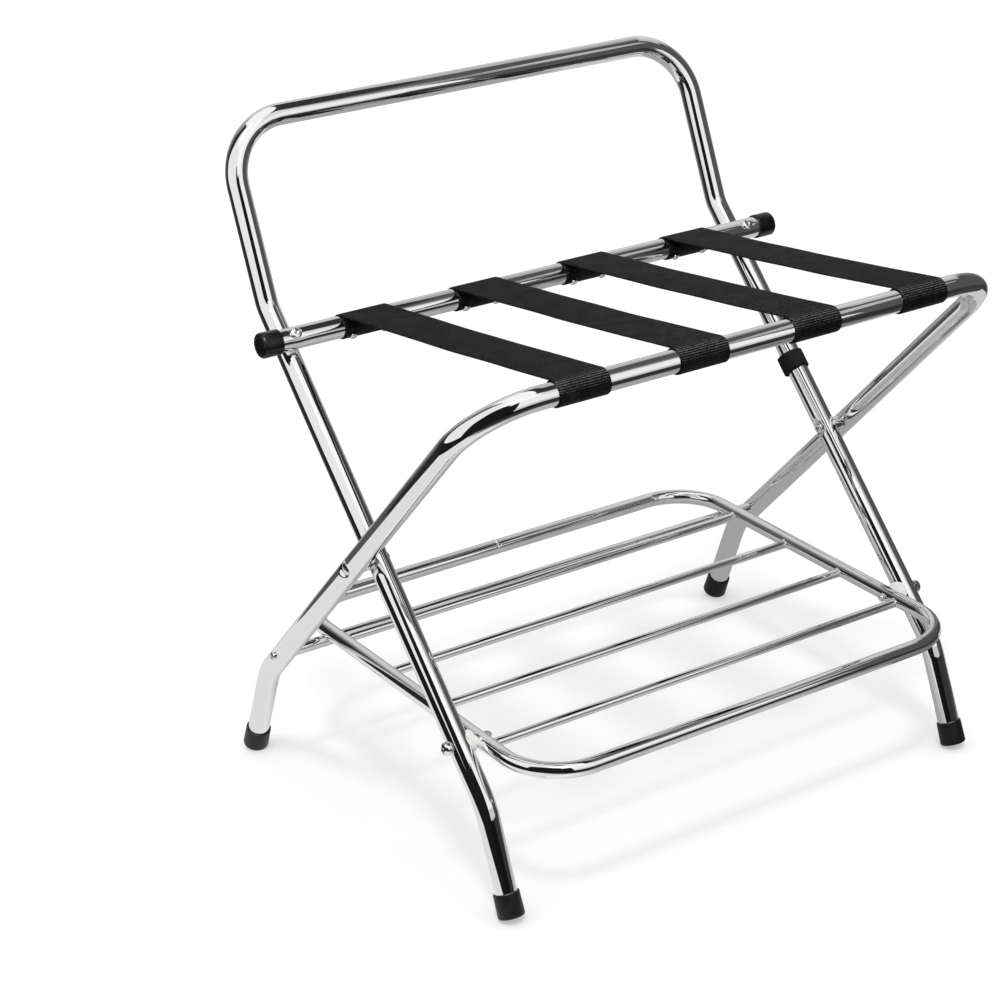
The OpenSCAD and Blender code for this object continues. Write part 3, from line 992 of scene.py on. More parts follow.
@dataclass(frozen=True)
class RackGeometry:
    """Sizes and places that the pieces share; side-view points are (y, z).

    Each frame's lower and upper lengths run along its legs from the pivot. seat_gap, face_gap and
    soft_gap are left in tight fits, between faces, and round webbing and what lies loose.
    """

    pivot: Array
    hinge: Array
    outer_x: float = 305.9
    inner_x: float = 278.1
    shelf_x: float = 256.3
    tube_r: float = 11.1
    wall: float = 1.2
    shelf_r: float = 7.95
    rod_r: float = 6.0
    outer_angle: float = 45.0
    inner_angle: float = 46.85
    outer_foot_angle: float = 67.3
    inner_foot_angle: float = 68.8
    hoop_angle: float = 68.4
    outer_lower: float = 264.7
    outer_upper: float = 321.3
    inner_lower: float = 257.6
    inner_upper: float = 279.5
    hoop_rise: float = 181.6
    rear_tube_back: float = 47.3
    rear_tube_off: float = 20.9
    rod_up: float = 47.5
    shelf_tail: float = 58.6
    flat_r: float = 7.7
    sole_r: float = 13.3
    sole_edge: float = 2.5
    sole_sunk: float = 0.8
    seat_gap: float = 0.05
    face_gap: float = 0.15
    soft_gap: float = 0.3
    strap_w: float = 55.0
    strap_t: float = 1.5
    strap_pitch: float = 132.0
    strap_count: int = 4

    @cached_property
    def outer_bend(self) -> Array:
        """Corner of the outer legs' feet."""
        return self.pivot + polar(self.outer_lower, -self.outer_angle)

    @cached_property
    def outer_top(self) -> Array:
        """Front tube's axis."""
        return self.pivot + polar(self.outer_upper, 180 - self.outer_angle)

    @cached_property
    def inner_bend(self) -> Array:
        """Corner of the inner legs' feet."""
        return self.pivot + polar(self.inner_lower, 180 + self.inner_angle)

    @cached_property
    def hoop_bend(self) -> Array:
        """Corner where the inner legs turn up into the backrest."""
        return self.pivot + polar(self.inner_upper, self.inner_angle)

    @cached_property
    def hoop_top(self) -> Array:
        """Backrest's top tube's axis."""
        return self.hoop_bend + polar(self.hoop_rise, self.hoop_angle)

    @cached_property
    def lean(self) -> Array:
        """Direction from the inner legs towards the rear cross tube."""
        return polar(1.0, self.inner_angle + 90)

    @cached_property
    def saddle(self) -> Array:
        """Place on the inner legs' axis that carries the rear cross tube."""
        return self.hoop_bend - polar(self.rear_tube_back, self.inner_angle)

    @cached_property
    def rear_tube(self) -> Array:
        """Rear cross tube's axis."""
        return self.saddle + self.rear_tube_off * self.lean

    @cached_property
    def rod(self) -> Array:
        """Cross rod's axis."""
        return self.outer_bend + polar(self.rod_up, 180 - self.outer_angle)

    def sole(self, bend: Array, angle: float) -> Array:
        """Middle of a foot's sole.

        Args:
            bend: Corner of the foot.
            angle: Slope of the foot from the floor, towards its end.

        Returns:
            The side-view point.
        """
        slope = math.radians(abs(angle) % 180)
        slope = min(slope, math.pi - slope)
        drop = bend[1] + self.sole_sunk - self.sole_edge - (self.sole_r - self.sole_edge) * math.cos(slope)
        return bend + polar(self.sole_edge + drop / math.sin(slope), angle)

    @cached_property
    def outer_sole(self) -> Array:
        """Sole of the outer legs' feet."""
        return self.sole(self.outer_bend, -self.outer_foot_angle)

    @cached_property
    def inner_sole(self) -> Array:
        """Sole of the inner legs' feet."""
        return self.sole(self.inner_bend, 180 + self.inner_foot_angle)

    @cached_property
    def shelf_lift(self) -> float:
        """Height of the shelf's plane over the rod's axis."""
        return self.shelf_r + self.rod_r + self.soft_gap

    @cached_property
    def shelf_slope(self) -> float:
        """Slope of the shelf.

        Returns:
            Degrees from +Y.
        """
        span = self.rod - self.hinge
        reach = float(np.linalg.norm(span))
        return math.degrees(math.atan2(span[1], span[0]) + math.asin(self.shelf_lift / reach))

    @cached_property
    def shelf_back(self) -> float:
        """Distance of the shelf's rear bar behind the hinge."""
        reach = float(np.linalg.norm(self.rod - self.hinge))
        return math.sqrt(reach * reach - self.shelf_lift**2) + self.shelf_tail

    def on_shelf(self, x: float, back: float, up: float) -> Array:
        """Point of the shelf's own plane, from its hinge."""
        slope = self.shelf_slope
        return at(x, self.hinge + polar(back, slope) + polar(up, slope + 90))

    def strap_x(self, index: int) -> float:
        """Middle of a strap, counted from 1 at the left."""
        return (index - (self.strap_count + 1) / 2) * self.strap_pitch


def settle(piece: bpy.types.Object, finish: Finish, body: Body | None, *nodes: str) -> bpy.types.Object:
    """Gives a piece its finish and its place among the bodies.

    Args:
        piece: The object.
        finish: Its finish.
        body: The body that it rides on, or None for a piece that is left unattached.
        *nodes: The CAD nodes that it stands for.

    Returns:
        The piece.
    """
    piece.data.materials.clear()
    piece.data.materials.append(finish.material())
    if body is not None:
        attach(piece, body.value)
    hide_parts(*nodes)
    log.info("%s: %d faces, for %s", piece.name, len(piece.data.polygons), ", ".join(nodes))
    return piece


# ---- Frames ----


@dataclass
class LegFrames:
    """The two bent tube frames, with the pressings at their pivots and saddles."""

    rack: RackGeometry
    seat_r: float = 8.5
    dish_r: float = 7.0
    dish_slope: float = 50.0
    dish_crease: float = 1.6
    saddle_crease: float = 0.5
    corner_r: float = 67.0
    outer_foot_r: float = 70.0
    inner_foot_r: float = 80.0
    hoop_foot_r: float = 40.0
    hoop_corner_r: float = 63.0
    foot_floor: float = 5.0
    die_reach: float = 30.0
    die_girth: float = 20.0
    saddle_reach: float = 40.0
    fine_step: float = 0.8
    fine_at_pivot: float = 15.0
    fine_at_saddle: float = 9.0
    sides: int = 72

    def pressed(self, co: Array, leg_x: float, other: float, depth: float) -> Array:
        """Presses the pivot's flats into the legs at +leg_x and -leg_x.

        Args:
            co: Points of a skin.
            leg_x: Distance of the legs from the middle.
            other: The same for the legs that they turn on, whose spacer needs a wider seat.
            depth: How far the skin lies below the outside.

        Returns:
            The moved points.
        """
        centre = np.sign(co[:, 0]) * leg_x
        out = np.abs(co[:, 0] - centre)
        reach = np.hypot(co[:, 1] - self.rack.pivot[0], co[:, 2] - self.rack.pivot[1])
        slope = math.radians(self.dish_slope)
        facing = (np.abs(co[:, 0]) - leg_x) * (other - leg_x) > 0
        edge = np.where(facing, self.seat_r, self.dish_r) + depth * math.tan(slope / 2)
        flat = self.rack.flat_r - depth + np.maximum(reach - edge, 0) * math.tan(slope)
        near = (reach < self.die_reach) & (out < self.die_girth)
        moved = np.where(near, smooth_min(out, flat, self.dish_crease), out)
        result = co.copy()
        result[:, 0] = centre + np.sign(co[:, 0] - centre) * moved
        return result

    def saddled(self, co: Array, depth: float) -> Array:
        """Presses the rear cross tube's saddles into the inner legs.

        Args:
            co: Points of a skin.
            depth: How far the skin lies below the outside.

        Returns:
            The moved points.
        """
        rack = self.rack
        offset = co[:, 1:] - rack.rear_tube
        along, height = offset @ polar(1.0, rack.inner_angle), offset @ rack.lean
        bar = rack.tube_r + rack.seat_gap + depth
        near = (np.abs(along) < bar) & (height > -self.saddle_reach)
        near &= np.abs(np.abs(co[:, 0]) - rack.inner_x) < self.die_girth
        roof = -np.sqrt(np.maximum(bar * bar - along * along, 0))
        drop = np.where(near, smooth_min(height, roof, self.saddle_crease) - height, 0.0)
        result = co.copy()
        result[:, 1:] += drop[:, None] * rack.lean
        return result

    def bent(
        self,
        x: float,
        bends: Sequence[tuple[Array, float]],
        fine: Sequence[tuple[Array, float]],
        press: Callable[[Array, float], Array],
    ) -> MeshBuild:
        """Bends one frame, the same on both sides.

        Args:
            x: Distance of its legs from the middle.
            bends: Corners from a foot's end to the top, with their radii.
            fine: Places that need close stations, and how far they reach.
            press: The pressings.

        Returns:
            The frame's mesh.
        """
        corners, radii = zip(*bends)
        closer = [Closer(at(side.value * x, p), r, self.fine_step) for side in Side for p, r in fine]
        ends = [at(-x, p) for p in corners] + [at(x, p) for p in corners[::-1]]
        line = stations(ends, radii + radii[::-1], X_AXIS, closer=closer)
        return MeshBuild().tube(line, self.rack.tube_r, self.rack.wall, self.sides, press)

    def backrest(self) -> None:
        """Inner frame: front feet, inner legs and the backrest hoop."""
        rack = self.rack
        end = rack.inner_sole - polar(self.foot_floor, 180 + rack.inner_foot_angle)
        bends = [(end, 0), (rack.inner_bend, self.inner_foot_r)]
        bends += [(rack.hoop_bend, self.hoop_foot_r), (rack.hoop_top, self.hoop_corner_r)]
        fine = [(rack.pivot, self.fine_at_pivot), (rack.saddle, self.fine_at_saddle)]

        def press(co: Array, depth: float) -> Array:
            """Both kinds of pressing."""
            return self.saddled(self.pressed(co, rack.inner_x, rack.outer_x, depth), depth)

        piece = self.bent(rack.inner_x, bends, fine, press).piece("backrest_tube", 50)
        settle(piece, CHROME, Body.INNER, "backrest_frame")

    def outer(self) -> None:
        """Outer frame: rear feet, outer legs and the front tube."""
        rack = self.rack
        end = rack.outer_sole - polar(self.foot_floor, -rack.outer_foot_angle)
        bends = [(end, 0), (rack.outer_bend, self.outer_foot_r), (rack.outer_top, self.corner_r)]

        def press(co: Array, depth: float) -> Array:
            """The pivots' flats."""
            return self.pressed(co, rack.outer_x, rack.inner_x, depth)

        build = self.bent(rack.outer_x, bends, [(rack.pivot, self.fine_at_pivot)], press)
        settle(build.piece("outer_tube", 50), CHROME, Body.OUTER, "outer_frame")

    def build(self) -> None:
        """Builds both frames."""
        self.backrest()
        self.outer()


# ---- Screws and other small turned parts ----


@dataclass(frozen=True)
class PanScrew:
    """Pan-head screw with a tapering cross recess; its head stands on Z = 0.

    rim is the upright edge's share of the head's height and fullness the power that rounds the
    dome; wing and slot are the recess's half sizes, as shares of the head's diameter.
    """

    shank_d: float
    head_d: float
    head_h: float
    length: float
    rim: float = 0.28
    fullness: float = 0.62
    bevel: float = 0.25
    tip: float = 0.6
    wing: float = 0.29
    slot: float = 0.075
    slot_taper: float = 0.45
    dome_points: int = 16
    sides: int = 40

    def build(self) -> MeshBuild:
        """The screw's mesh.

        Returns:
            The mesh.
        """
        r, shank, low = self.head_d / 2, self.shank_d / 2, self.rim * self.head_h
        rise = self.head_h - low
        dome = [
            (r * math.sin(t), low + rise * max(math.cos(t), 0.0) ** self.fullness)
            for t in np.linspace(0, math.pi / 2, self.dome_points)
        ]
        under = [(r, self.bevel), (r - self.bevel, 0.0), (shank, 0.0), (shank, self.tip - self.length)]
        end = [(shank - self.tip, -self.length), (0.0, -self.length)]
        return MeshBuild().lathe(np.array(dome + under + end), np.eye(4), self.sides).carved(self.recess())

    def recess(self) -> MeshBuild:
        """Cutter of the cross recess.

        Returns:
            The cutter's mesh.
        """
        rows, quarter = [], np.array([[0, 1], [-1, 0]])
        for height, size in ((self.head_h + 1, 1.12), (self.head_h * 0.75, 0.92), (self.head_h * 0.42, 0.42)):
            w = self.wing * self.head_d * size
            s = self.slot * self.head_d * (1 - self.slot_taper + self.slot_taper * size)
            arm = np.array([(w, -s), (w, s), (s, s)])
            cross = np.vstack([arm @ np.linalg.matrix_power(quarter, turns) for turns in range(4)])
            rows.append(np.column_stack([cross, np.full(len(cross), height)]))
        return MeshBuild().grid(np.array(rows), np.zeros((len(rows), len(cross) + 1, 2)), caps=True)

    def row(self, name: str, node: str, body: Body, seats: Sequence[tuple[Array, Array]], seed: int) -> None:
        """Builds a row of these screws as one piece, each turned differently.

        Args:
            name: The piece's name.
            node: The CAD node that it stands for.
            body: Body that they ride on.
            seats: Where each head sits and which way it points.
            seed: Seed of their turns.
        """
        turns = np.random.default_rng(seed).uniform(0, 90, len(seats))
        places = [standing(seat, out, turn) for (seat, out), turn in zip(seats, turns)]
        settle(MeshBuild().copies(self.build(), places).piece(name), PLATED, body, node)


@dataclass
class RearCrossTube:
    """Tube across the back, its end caps, and the screws that hold it on the inner legs."""

    rack: RackGeometry
    cap_x: float = 315.0
    cap_len: float = 21.5
    cap_floor: float = 2.5
    cap_r: float = 12.8
    cap_dish: float = 3.9
    dent: float = 0.6
    dent_r: float = 7.0
    dent_reach: float = 15.0
    dent_step: float = 1.0
    screw: PanScrew = PanScrew(4.8, 11.2, 2.9, 29.6)
    screw_seed: int = 3
    sides: int = 72

    def tube(self) -> None:
        """The tube itself."""
        rack, half = self.rack, self.cap_x - self.cap_floor
        middles = [at(side.value * rack.inner_x, rack.rear_tube) for side in Side]
        closer = [Closer(middle, self.dent_reach, self.dent_step) for middle in middles]
        ends = [at(-half, rack.rear_tube), at(half, rack.rear_tube)]
        line = stations(ends, [0, 0], Z_AXIS, closer=closer)

        def press(co: Array, depth: float) -> Array:
            """The dents that the screws pull into the tube.

            Args:
                co: Points of a skin.
                depth: How far the skin lies below the outside.

            Returns:
                The moved points.
            """
            height = (co[:, 1:] - rack.rear_tube) @ rack.lean / (rack.tube_r - depth)
            near = np.exp(-(((np.abs(co[:, 0]) - rack.inner_x) / self.dent_r) ** 2))
            result = co.copy()
            result[:, 1:] -= (self.dent * near * np.clip(height, 0, 1) ** 2)[:, None] * rack.lean
            return result

        build = MeshBuild().tube(line, rack.tube_r, rack.wall, self.sides, press)
        settle(build.piece("rear_cross_bar", 50), CHROME, Body.INNER, "rear_cross_tube")

    def cap(self, side: Side) -> None:
        """One rubber end cap.

        Args:
            side: Its side.
        """
        r, length, floor = self.cap_r, self.cap_len, self.cap_floor
        bore = self.rack.tube_r + self.rack.seat_gap
        end = [(0, 0.7), (r - self.cap_dish - 0.5, 0.6), (r - self.cap_dish, 0), (r, 0)]
        mouth = [(r - 0.1, length), (bore, length), (bore, floor), (0, floor)]
        profile = rounded(end + mouth, [0, 0.25, 0.25, 3.2, 0.45, 0.3, 0.2, 0])
        build = MeshBuild().lathe(profile, side.inward(self.cap_x, self.rack.rear_tube), self.sides)
        piece = build.piece(f"rear_bar_cap_{side.word}")
        settle(piece, CAP_RUBBER, Body.INNER, f"cross_tube_cap_{side.word}")

    def screws(self) -> None:
        """The two screws through the tube into the legs."""
        rack = self.rack
        seat = rack.rear_tube + (rack.tube_r + rack.seat_gap - 0.5 * self.dent) * rack.lean
        seats = [(at(side.value * rack.inner_x, seat), at(0, rack.lean)) for side in Side]
        self.screw.row("cross_bar_screws", "cross_tube_screws", Body.INNER, seats, self.screw_seed)

    def build(self) -> None:
        """Builds the tube, its caps and its screws."""
        self.tube()
        for side in Side:
            self.cap(side)
        self.screws()


@dataclass
class Feet:
    """Rubber feet on the four leg ends, flattened where they stand on the floor."""

    rack: RackGeometry
    rim_r: float = 12.8
    length: float = 24.3
    floor: float = 5.0
    sole_rings: tuple[float, ...] = (3.0, 6.0, 8.5)
    sides: int = 72

    def foot(self, place: str, side: Side, leg_x: float, sole: Array, bend: Array, body: Body) -> None:
        """One foot.

        Args:
            place: "front" or "rear".
            side: Its side.
            leg_x: Distance of its leg from the middle.
            sole: Middle of its sole in the side view.
            bend: Corner above it, towards which it stands.
            body: Body that it rides on.
        """
        rack = self.rack
        bore = rack.tube_r + rack.seat_gap
        outline = [(0, 0), (rack.sole_r, 0), (self.rim_r, self.length)]
        outline += [(bore, self.length), (bore, self.floor), (0, self.floor)]
        profile = rounded(outline, [0, rack.sole_edge, 0.5, 0.3, 0.2, 0], 8)
        profile = np.insert(profile, 1, [(r, 0.0) for r in self.sole_rings], axis=0)
        matrix = standing(at(side.value * leg_x, sole), at(0, bend - sole))

        def trodden(co: Array) -> Array:
            """Keeps the foot above the floor."""
            return np.column_stack([co[:, :2], np.maximum(co[:, 2], 0)])

        build = MeshBuild().lathe(profile, matrix, self.sides).moved(trodden)
        settle(build.piece(f"rubber_foot_{place}_{side.word}"), RUBBER, body, f"foot_{place}_{side.word}")

    def build(self) -> None:
        """Builds the four feet."""
        rack = self.rack
        for side in Side:
            self.foot("front", side, rack.inner_x, rack.inner_sole, rack.inner_bend, Body.INNER)
            self.foot("rear", side, rack.outer_x, rack.outer_sole, rack.outer_bend, Body.OUTER)


# ---- Straps ----


@dataclass
class Straps:
    """Webbing straps wrapped round the rear cross tube and the front tube, and their screws.

    sag, cup, stray, snake and ripple are how far a span hangs, bows across, leans to a side,
    weaves and waves; ripple_waves and ripple_slant are the waves' turns, in radians, over the
    span and over each mm across it.
    """

    rack: RackGeometry
    screw_x: float = 18.0
    screw_slope: float = 40.0
    rib: float = 2.3
    rib_depth: float = 0.25
    rib_fullness: float = 0.8
    scallop_depth: float = 0.8
    scallop_spread: float = 0.35
    sag: float = 1.2
    sag_spread: float = 0.4
    cup: float = 0.5
    stray: float = 0.6
    snake: float = 0.35
    ripple: float = 0.15
    ripple_waves: float = 21.0
    ripple_slant: float = 0.07
    face_points: int = 13
    screw: PanScrew = PanScrew(4.0, 8.0, 2.6, 7.7)
    strap_seed: int = 40
    rear_seed: int = 5
    front_seed: int = 6

    @cached_property
    def rear_r(self) -> float:
        """Inside radius of the rear wrap."""
        return self.rack.tube_r + self.rack.seat_gap

    @cached_property
    def front_r(self) -> float:
        """Inside radius of the front wrap."""
        return self.rack.tube_r + self.rack.soft_gap

    @cached_property
    def turn(self) -> float:
        """Direction of the span in the side view.

        Returns:
            Degrees from +Y.
        """
        span = self.rack.outer_top - self.rack.rear_tube
        rise = math.asin((self.front_r - self.rear_r) / float(np.linalg.norm(span)))
        return math.degrees(math.atan2(span[1], span[0]) - rise)

    @cached_property
    def reach(self) -> float:
        """Length of the span between the two wraps."""
        span = float(np.linalg.norm(self.rack.outer_top - self.rack.rear_tube))
        return math.sqrt(span**2 - (self.front_r - self.rear_r) ** 2)

    def wrap(self, radius: float) -> float:
        """Turn of a wrap that stops under the span, in radians."""
        return 2 * math.pi - math.acos((radius - self.rack.soft_gap) / (radius + self.rack.strap_t))

    def arc(self, radius: float) -> float:
        """Length of a wrap, along the middle of the webbing."""
        return (radius + self.rack.strap_t / 2) * self.wrap(radius)

    @cached_property
    def webbing(self) -> Webbing:
        """The webbing's finish, which knows where the bends are."""
        rear_arc = self.arc(self.rear_r)
        return Webbing(bends=(rear_arc * MM, (rear_arc + self.reach) * MM))

    @cached_property
    def centre_line(self) -> tuple[Array, Array, Array, Array]:
        """Middle of the webbing's thickness in the side view, four stations to each rib.

        Returns:
            Points, outward normals, the share of the span covered and the distance run at each.
        """
        half = self.rack.strap_t / 2
        rear_arc, front_arc = self.arc(self.rear_r), self.arc(self.front_r)
        run = np.arange(0.0, rear_arc + self.reach + front_arc, self.rib / 4)
        rear = np.clip(run, 0, rear_arc) / (self.rear_r + half) - self.wrap(self.rear_r) - math.pi / 2
        span = np.clip(run - rear_arc, 0, self.reach)
        front = np.clip(run - rear_arc - self.reach, 0, None) / (self.front_r + half) - math.pi / 2
        behind = run < rear_arc
        turn = np.where(behind, rear, front)
        normals = np.column_stack([np.cos(turn), np.sin(turn)])
        radius = np.where(behind, self.rear_r, self.front_r) + half
        middle = np.column_stack([span, np.where(behind, 0, self.front_r - self.rear_r)])
        points = middle + radius[:, None] * normals
        c, s = math.cos(math.radians(self.turn)), math.sin(math.radians(self.turn))
        rotate = np.array([[c, -s], [s, c]])
        return points @ rotate.T + self.rack.rear_tube, normals @ rotate.T, span / self.reach, run

    @cached_property
    def section(self) -> tuple[Array, Array, Array]:
        """Webbing's cross-section.

        Returns:
            (across, outward) pairs, and how much of the ribs' height and of the edges' scallops
            each takes.
        """
        w, t, n = self.rack.strap_w / 2, self.rack.strap_t / 2, self.face_points
        flat = np.linspace(-w + t, w - t, n)
        angles = np.radians([50, 0, -50])
        edge = np.column_stack([w - t + t * np.cos(angles), t * np.sin(angles)])
        top = np.column_stack([flat, np.full(n, t)])
        pairs = np.vstack([top, edge, top[::-1] * [1, -1], edge[::-1] * [-1, 1]])
        relief = np.concatenate([np.ones(n), [0.7, 0, -0.7], -np.ones(n), [-0.7, 0, 0.7]])
        scallop = np.concatenate([np.zeros(n), [0.8, 1, 0.8], np.zeros(n), [-0.8, -1, -0.8]])
        return pairs, relief, scallop

    def strap(self, index: int) -> None:
        """One strap.

        Args:
            index: Its number, from 1 at the left.
        """
        line, normals, shares, run = self.centre_line
        section, relief, scallop = self.section
        rng = np.random.default_rng(self.strap_seed + index)
        swing = np.sin(math.pi * shares)
        lean = self.stray * rng.uniform(-1, 1) * swing
        lean += self.snake * np.sin(4 * math.pi * shares + rng.uniform(0, 6)) * swing
        droop = self.sag * (1 - self.sag_spread / 2 + self.sag_spread * rng.uniform()) * swing
        rib = np.abs(np.sin(math.pi * run / self.rib)) ** self.rib_fullness - 1
        wobble = 1 + self.scallop_spread * rng.uniform(-1, 1, (len(run), 1))
        across = section[:, 0] + self.scallop_depth * rib[:, None] * scallop * wobble
        bow = self.cup * swing[:, None] * (across / (self.rack.strap_w / 2)) ** 2
        wave = np.sin(shares[:, None] * self.ripple_waves + across * self.ripple_slant + index)
        ripple = self.ripple * swing[:, None] * wave
        inner = np.where(relief < 0, swing[:, None] > 0, 1)
        out = section[:, 1] + self.rib_depth * rib[:, None] * relief * inner - bow - droop[:, None] + ripple
        co = np.empty((len(line), len(section), 3))
        co[..., 0] = self.rack.strap_x(index) + across + lean[:, None]
        co[..., 1:] = line[:, None] + out[..., None] * normals[:, None]
        uv = texture(np.append(section[:, 0], section[0, 0]), run)
        piece = MeshBuild().grid(co, uv, caps=True).piece(f"webbing_strap_{index}", 75)
        settle(piece, self.webbing, None, f"strap_{index}")
        start, end = line[np.argmax(shares > 0)], line[np.argmax(shares >= 1)]
        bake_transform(piece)

    def seats(self, tube: Array, radius: float, angle: float) -> list[tuple[Array, Array]]:
        """Seats of one row of strap screws, two to a strap.

        Args:
            tube: Axis of the tube in the side view.
            radius: Where the heads sit.
            angle: Direction of the screws in the side view, in degrees.

        Returns:
            For each screw, where its head sits and which way it points.
        """
        middles = [self.rack.strap_x(index) for index in range(1, self.rack.strap_count + 1)]
        xs = [middle + side.value * self.screw_x for middle in middles for side in Side]
        return [(at(x, tube + polar(radius, angle)), at(0, polar(1, angle))) for x in xs]

    def build(self) -> None:
        """Builds the straps and their screws."""
        rack = self.rack
        for index in range(1, rack.strap_count + 1):
            self.strap(index)
        rear = self.seats(rack.rear_tube, self.rear_r + rack.strap_t + rack.seat_gap, 180 + self.screw_slope)
        front = self.seats(rack.outer_top, self.front_r + rack.strap_t + rack.soft_gap, -self.screw_slope)
        self.screw.row("rear_strap_screws", "strap_screws_rear", Body.INNER, rear, self.rear_seed)
        self.screw.row("front_strap_screws", "strap_screws_front", Body.OUTER, front, self.front_seed)


# ---- Pivots ----


@dataclass
class Pivots:
    """Main pivots: a rivet and a spacer on each side.

    Each bevel is what it takes off, along the pin and then across it.
    """

    rack: RackGeometry
    rivet_d: float = 8.0
    head_d: float = 12.0
    head_h: float = 1.8
    head_rim: float = 0.5
    tail_h: float = 3.2
    roll_r: float = 1.9
    roll_h: float = 1.3
    bore_d: float = 5.0
    bore_floor: float = 1.0
    head_bevel: Span = (0.3, 0.25)
    tail_bevel: Span = (0.4, 0.3)
    mouth_bevel: Span = (0.6, 0.5)
    spacer_d: float = 15.0
    spacer_edge: float = 0.5
    spacer_bore_edge: float = 0.3
    sides: int = 56

    def rivet(self, side: Side) -> None:
        """Rivet with a domed head outside and a rolled tail inside.

        Args:
            side: Its side.
        """
        rack, rim, roll_r = self.rack, self.head_rim, self.roll_r
        head_x = rack.outer_x + rack.flat_r + rack.face_gap
        grip = head_x - (rack.inner_x - rack.flat_r - rack.seat_gap)
        r, shank, bore = self.head_d / 2, self.rivet_d / 2, self.bore_d / 2
        dome = [(r * math.sin(t), rim + (self.head_h - rim) * math.cos(t)) for t in np.linspace(0, 1.5, 10)]
        (up, over), (down, under) = self.head_bevel, self.tail_bevel
        neck = [(r, up), (r - over, 0.0), (shank, 0.0), (shank, -grip), (r - under, -grip), (r, -grip - down)]
        roll = [
            (r - roll_r + roll_r * math.cos(t), -grip - self.roll_h - roll_r * math.sin(t))
            for t in np.linspace(0.1, math.pi / 2, 8)
        ]
        tail, (sunk, opened) = -grip - self.tail_h, self.mouth_bevel
        mouth = [(bore + opened, tail), (bore, tail + sunk)]
        mouth += [(bore, -grip - self.bore_floor), (0.0, -grip - self.bore_floor)]
        profile, place = np.array(dome + neck + roll + mouth), side.outward(head_x, rack.pivot)
        piece = MeshBuild().lathe(profile, place, self.sides).piece(f"pivot_pin_{side.word}")
        settle(piece, PLATED, Body.INNER, f"pivot_rivet_{side.word}")

    def spacer(self, side: Side) -> None:
        """Turned spacer between the two legs.

        Args:
            side: Its side.
        """
        rack = self.rack
        start = rack.inner_x + rack.flat_r + rack.seat_gap
        height = rack.outer_x - rack.flat_r - rack.face_gap - start
        r, bore = self.spacer_d / 2, self.rivet_d / 2 + rack.seat_gap
        outline = [(bore, height / 2), (bore, 0), (r, 0), (r, height), (bore, height), (bore, height / 2)]
        outer, inner = self.spacer_edge, self.spacer_bore_edge
        profile = rounded(outline, [0, inner, outer, outer, inner, 0])
        build = MeshBuild().lathe(profile, side.outward(start, rack.pivot), self.sides)
        settle(build.piece(f"pivot_collar_{side.word}"), PLATED, Body.INNER, f"pivot_spacer_{side.word}")

    def build(self) -> None:
        """Builds the pivots of both sides."""
        for side in Side:
            self.rivet(side)
            self.spacer(side)


# ---- Shelf ----


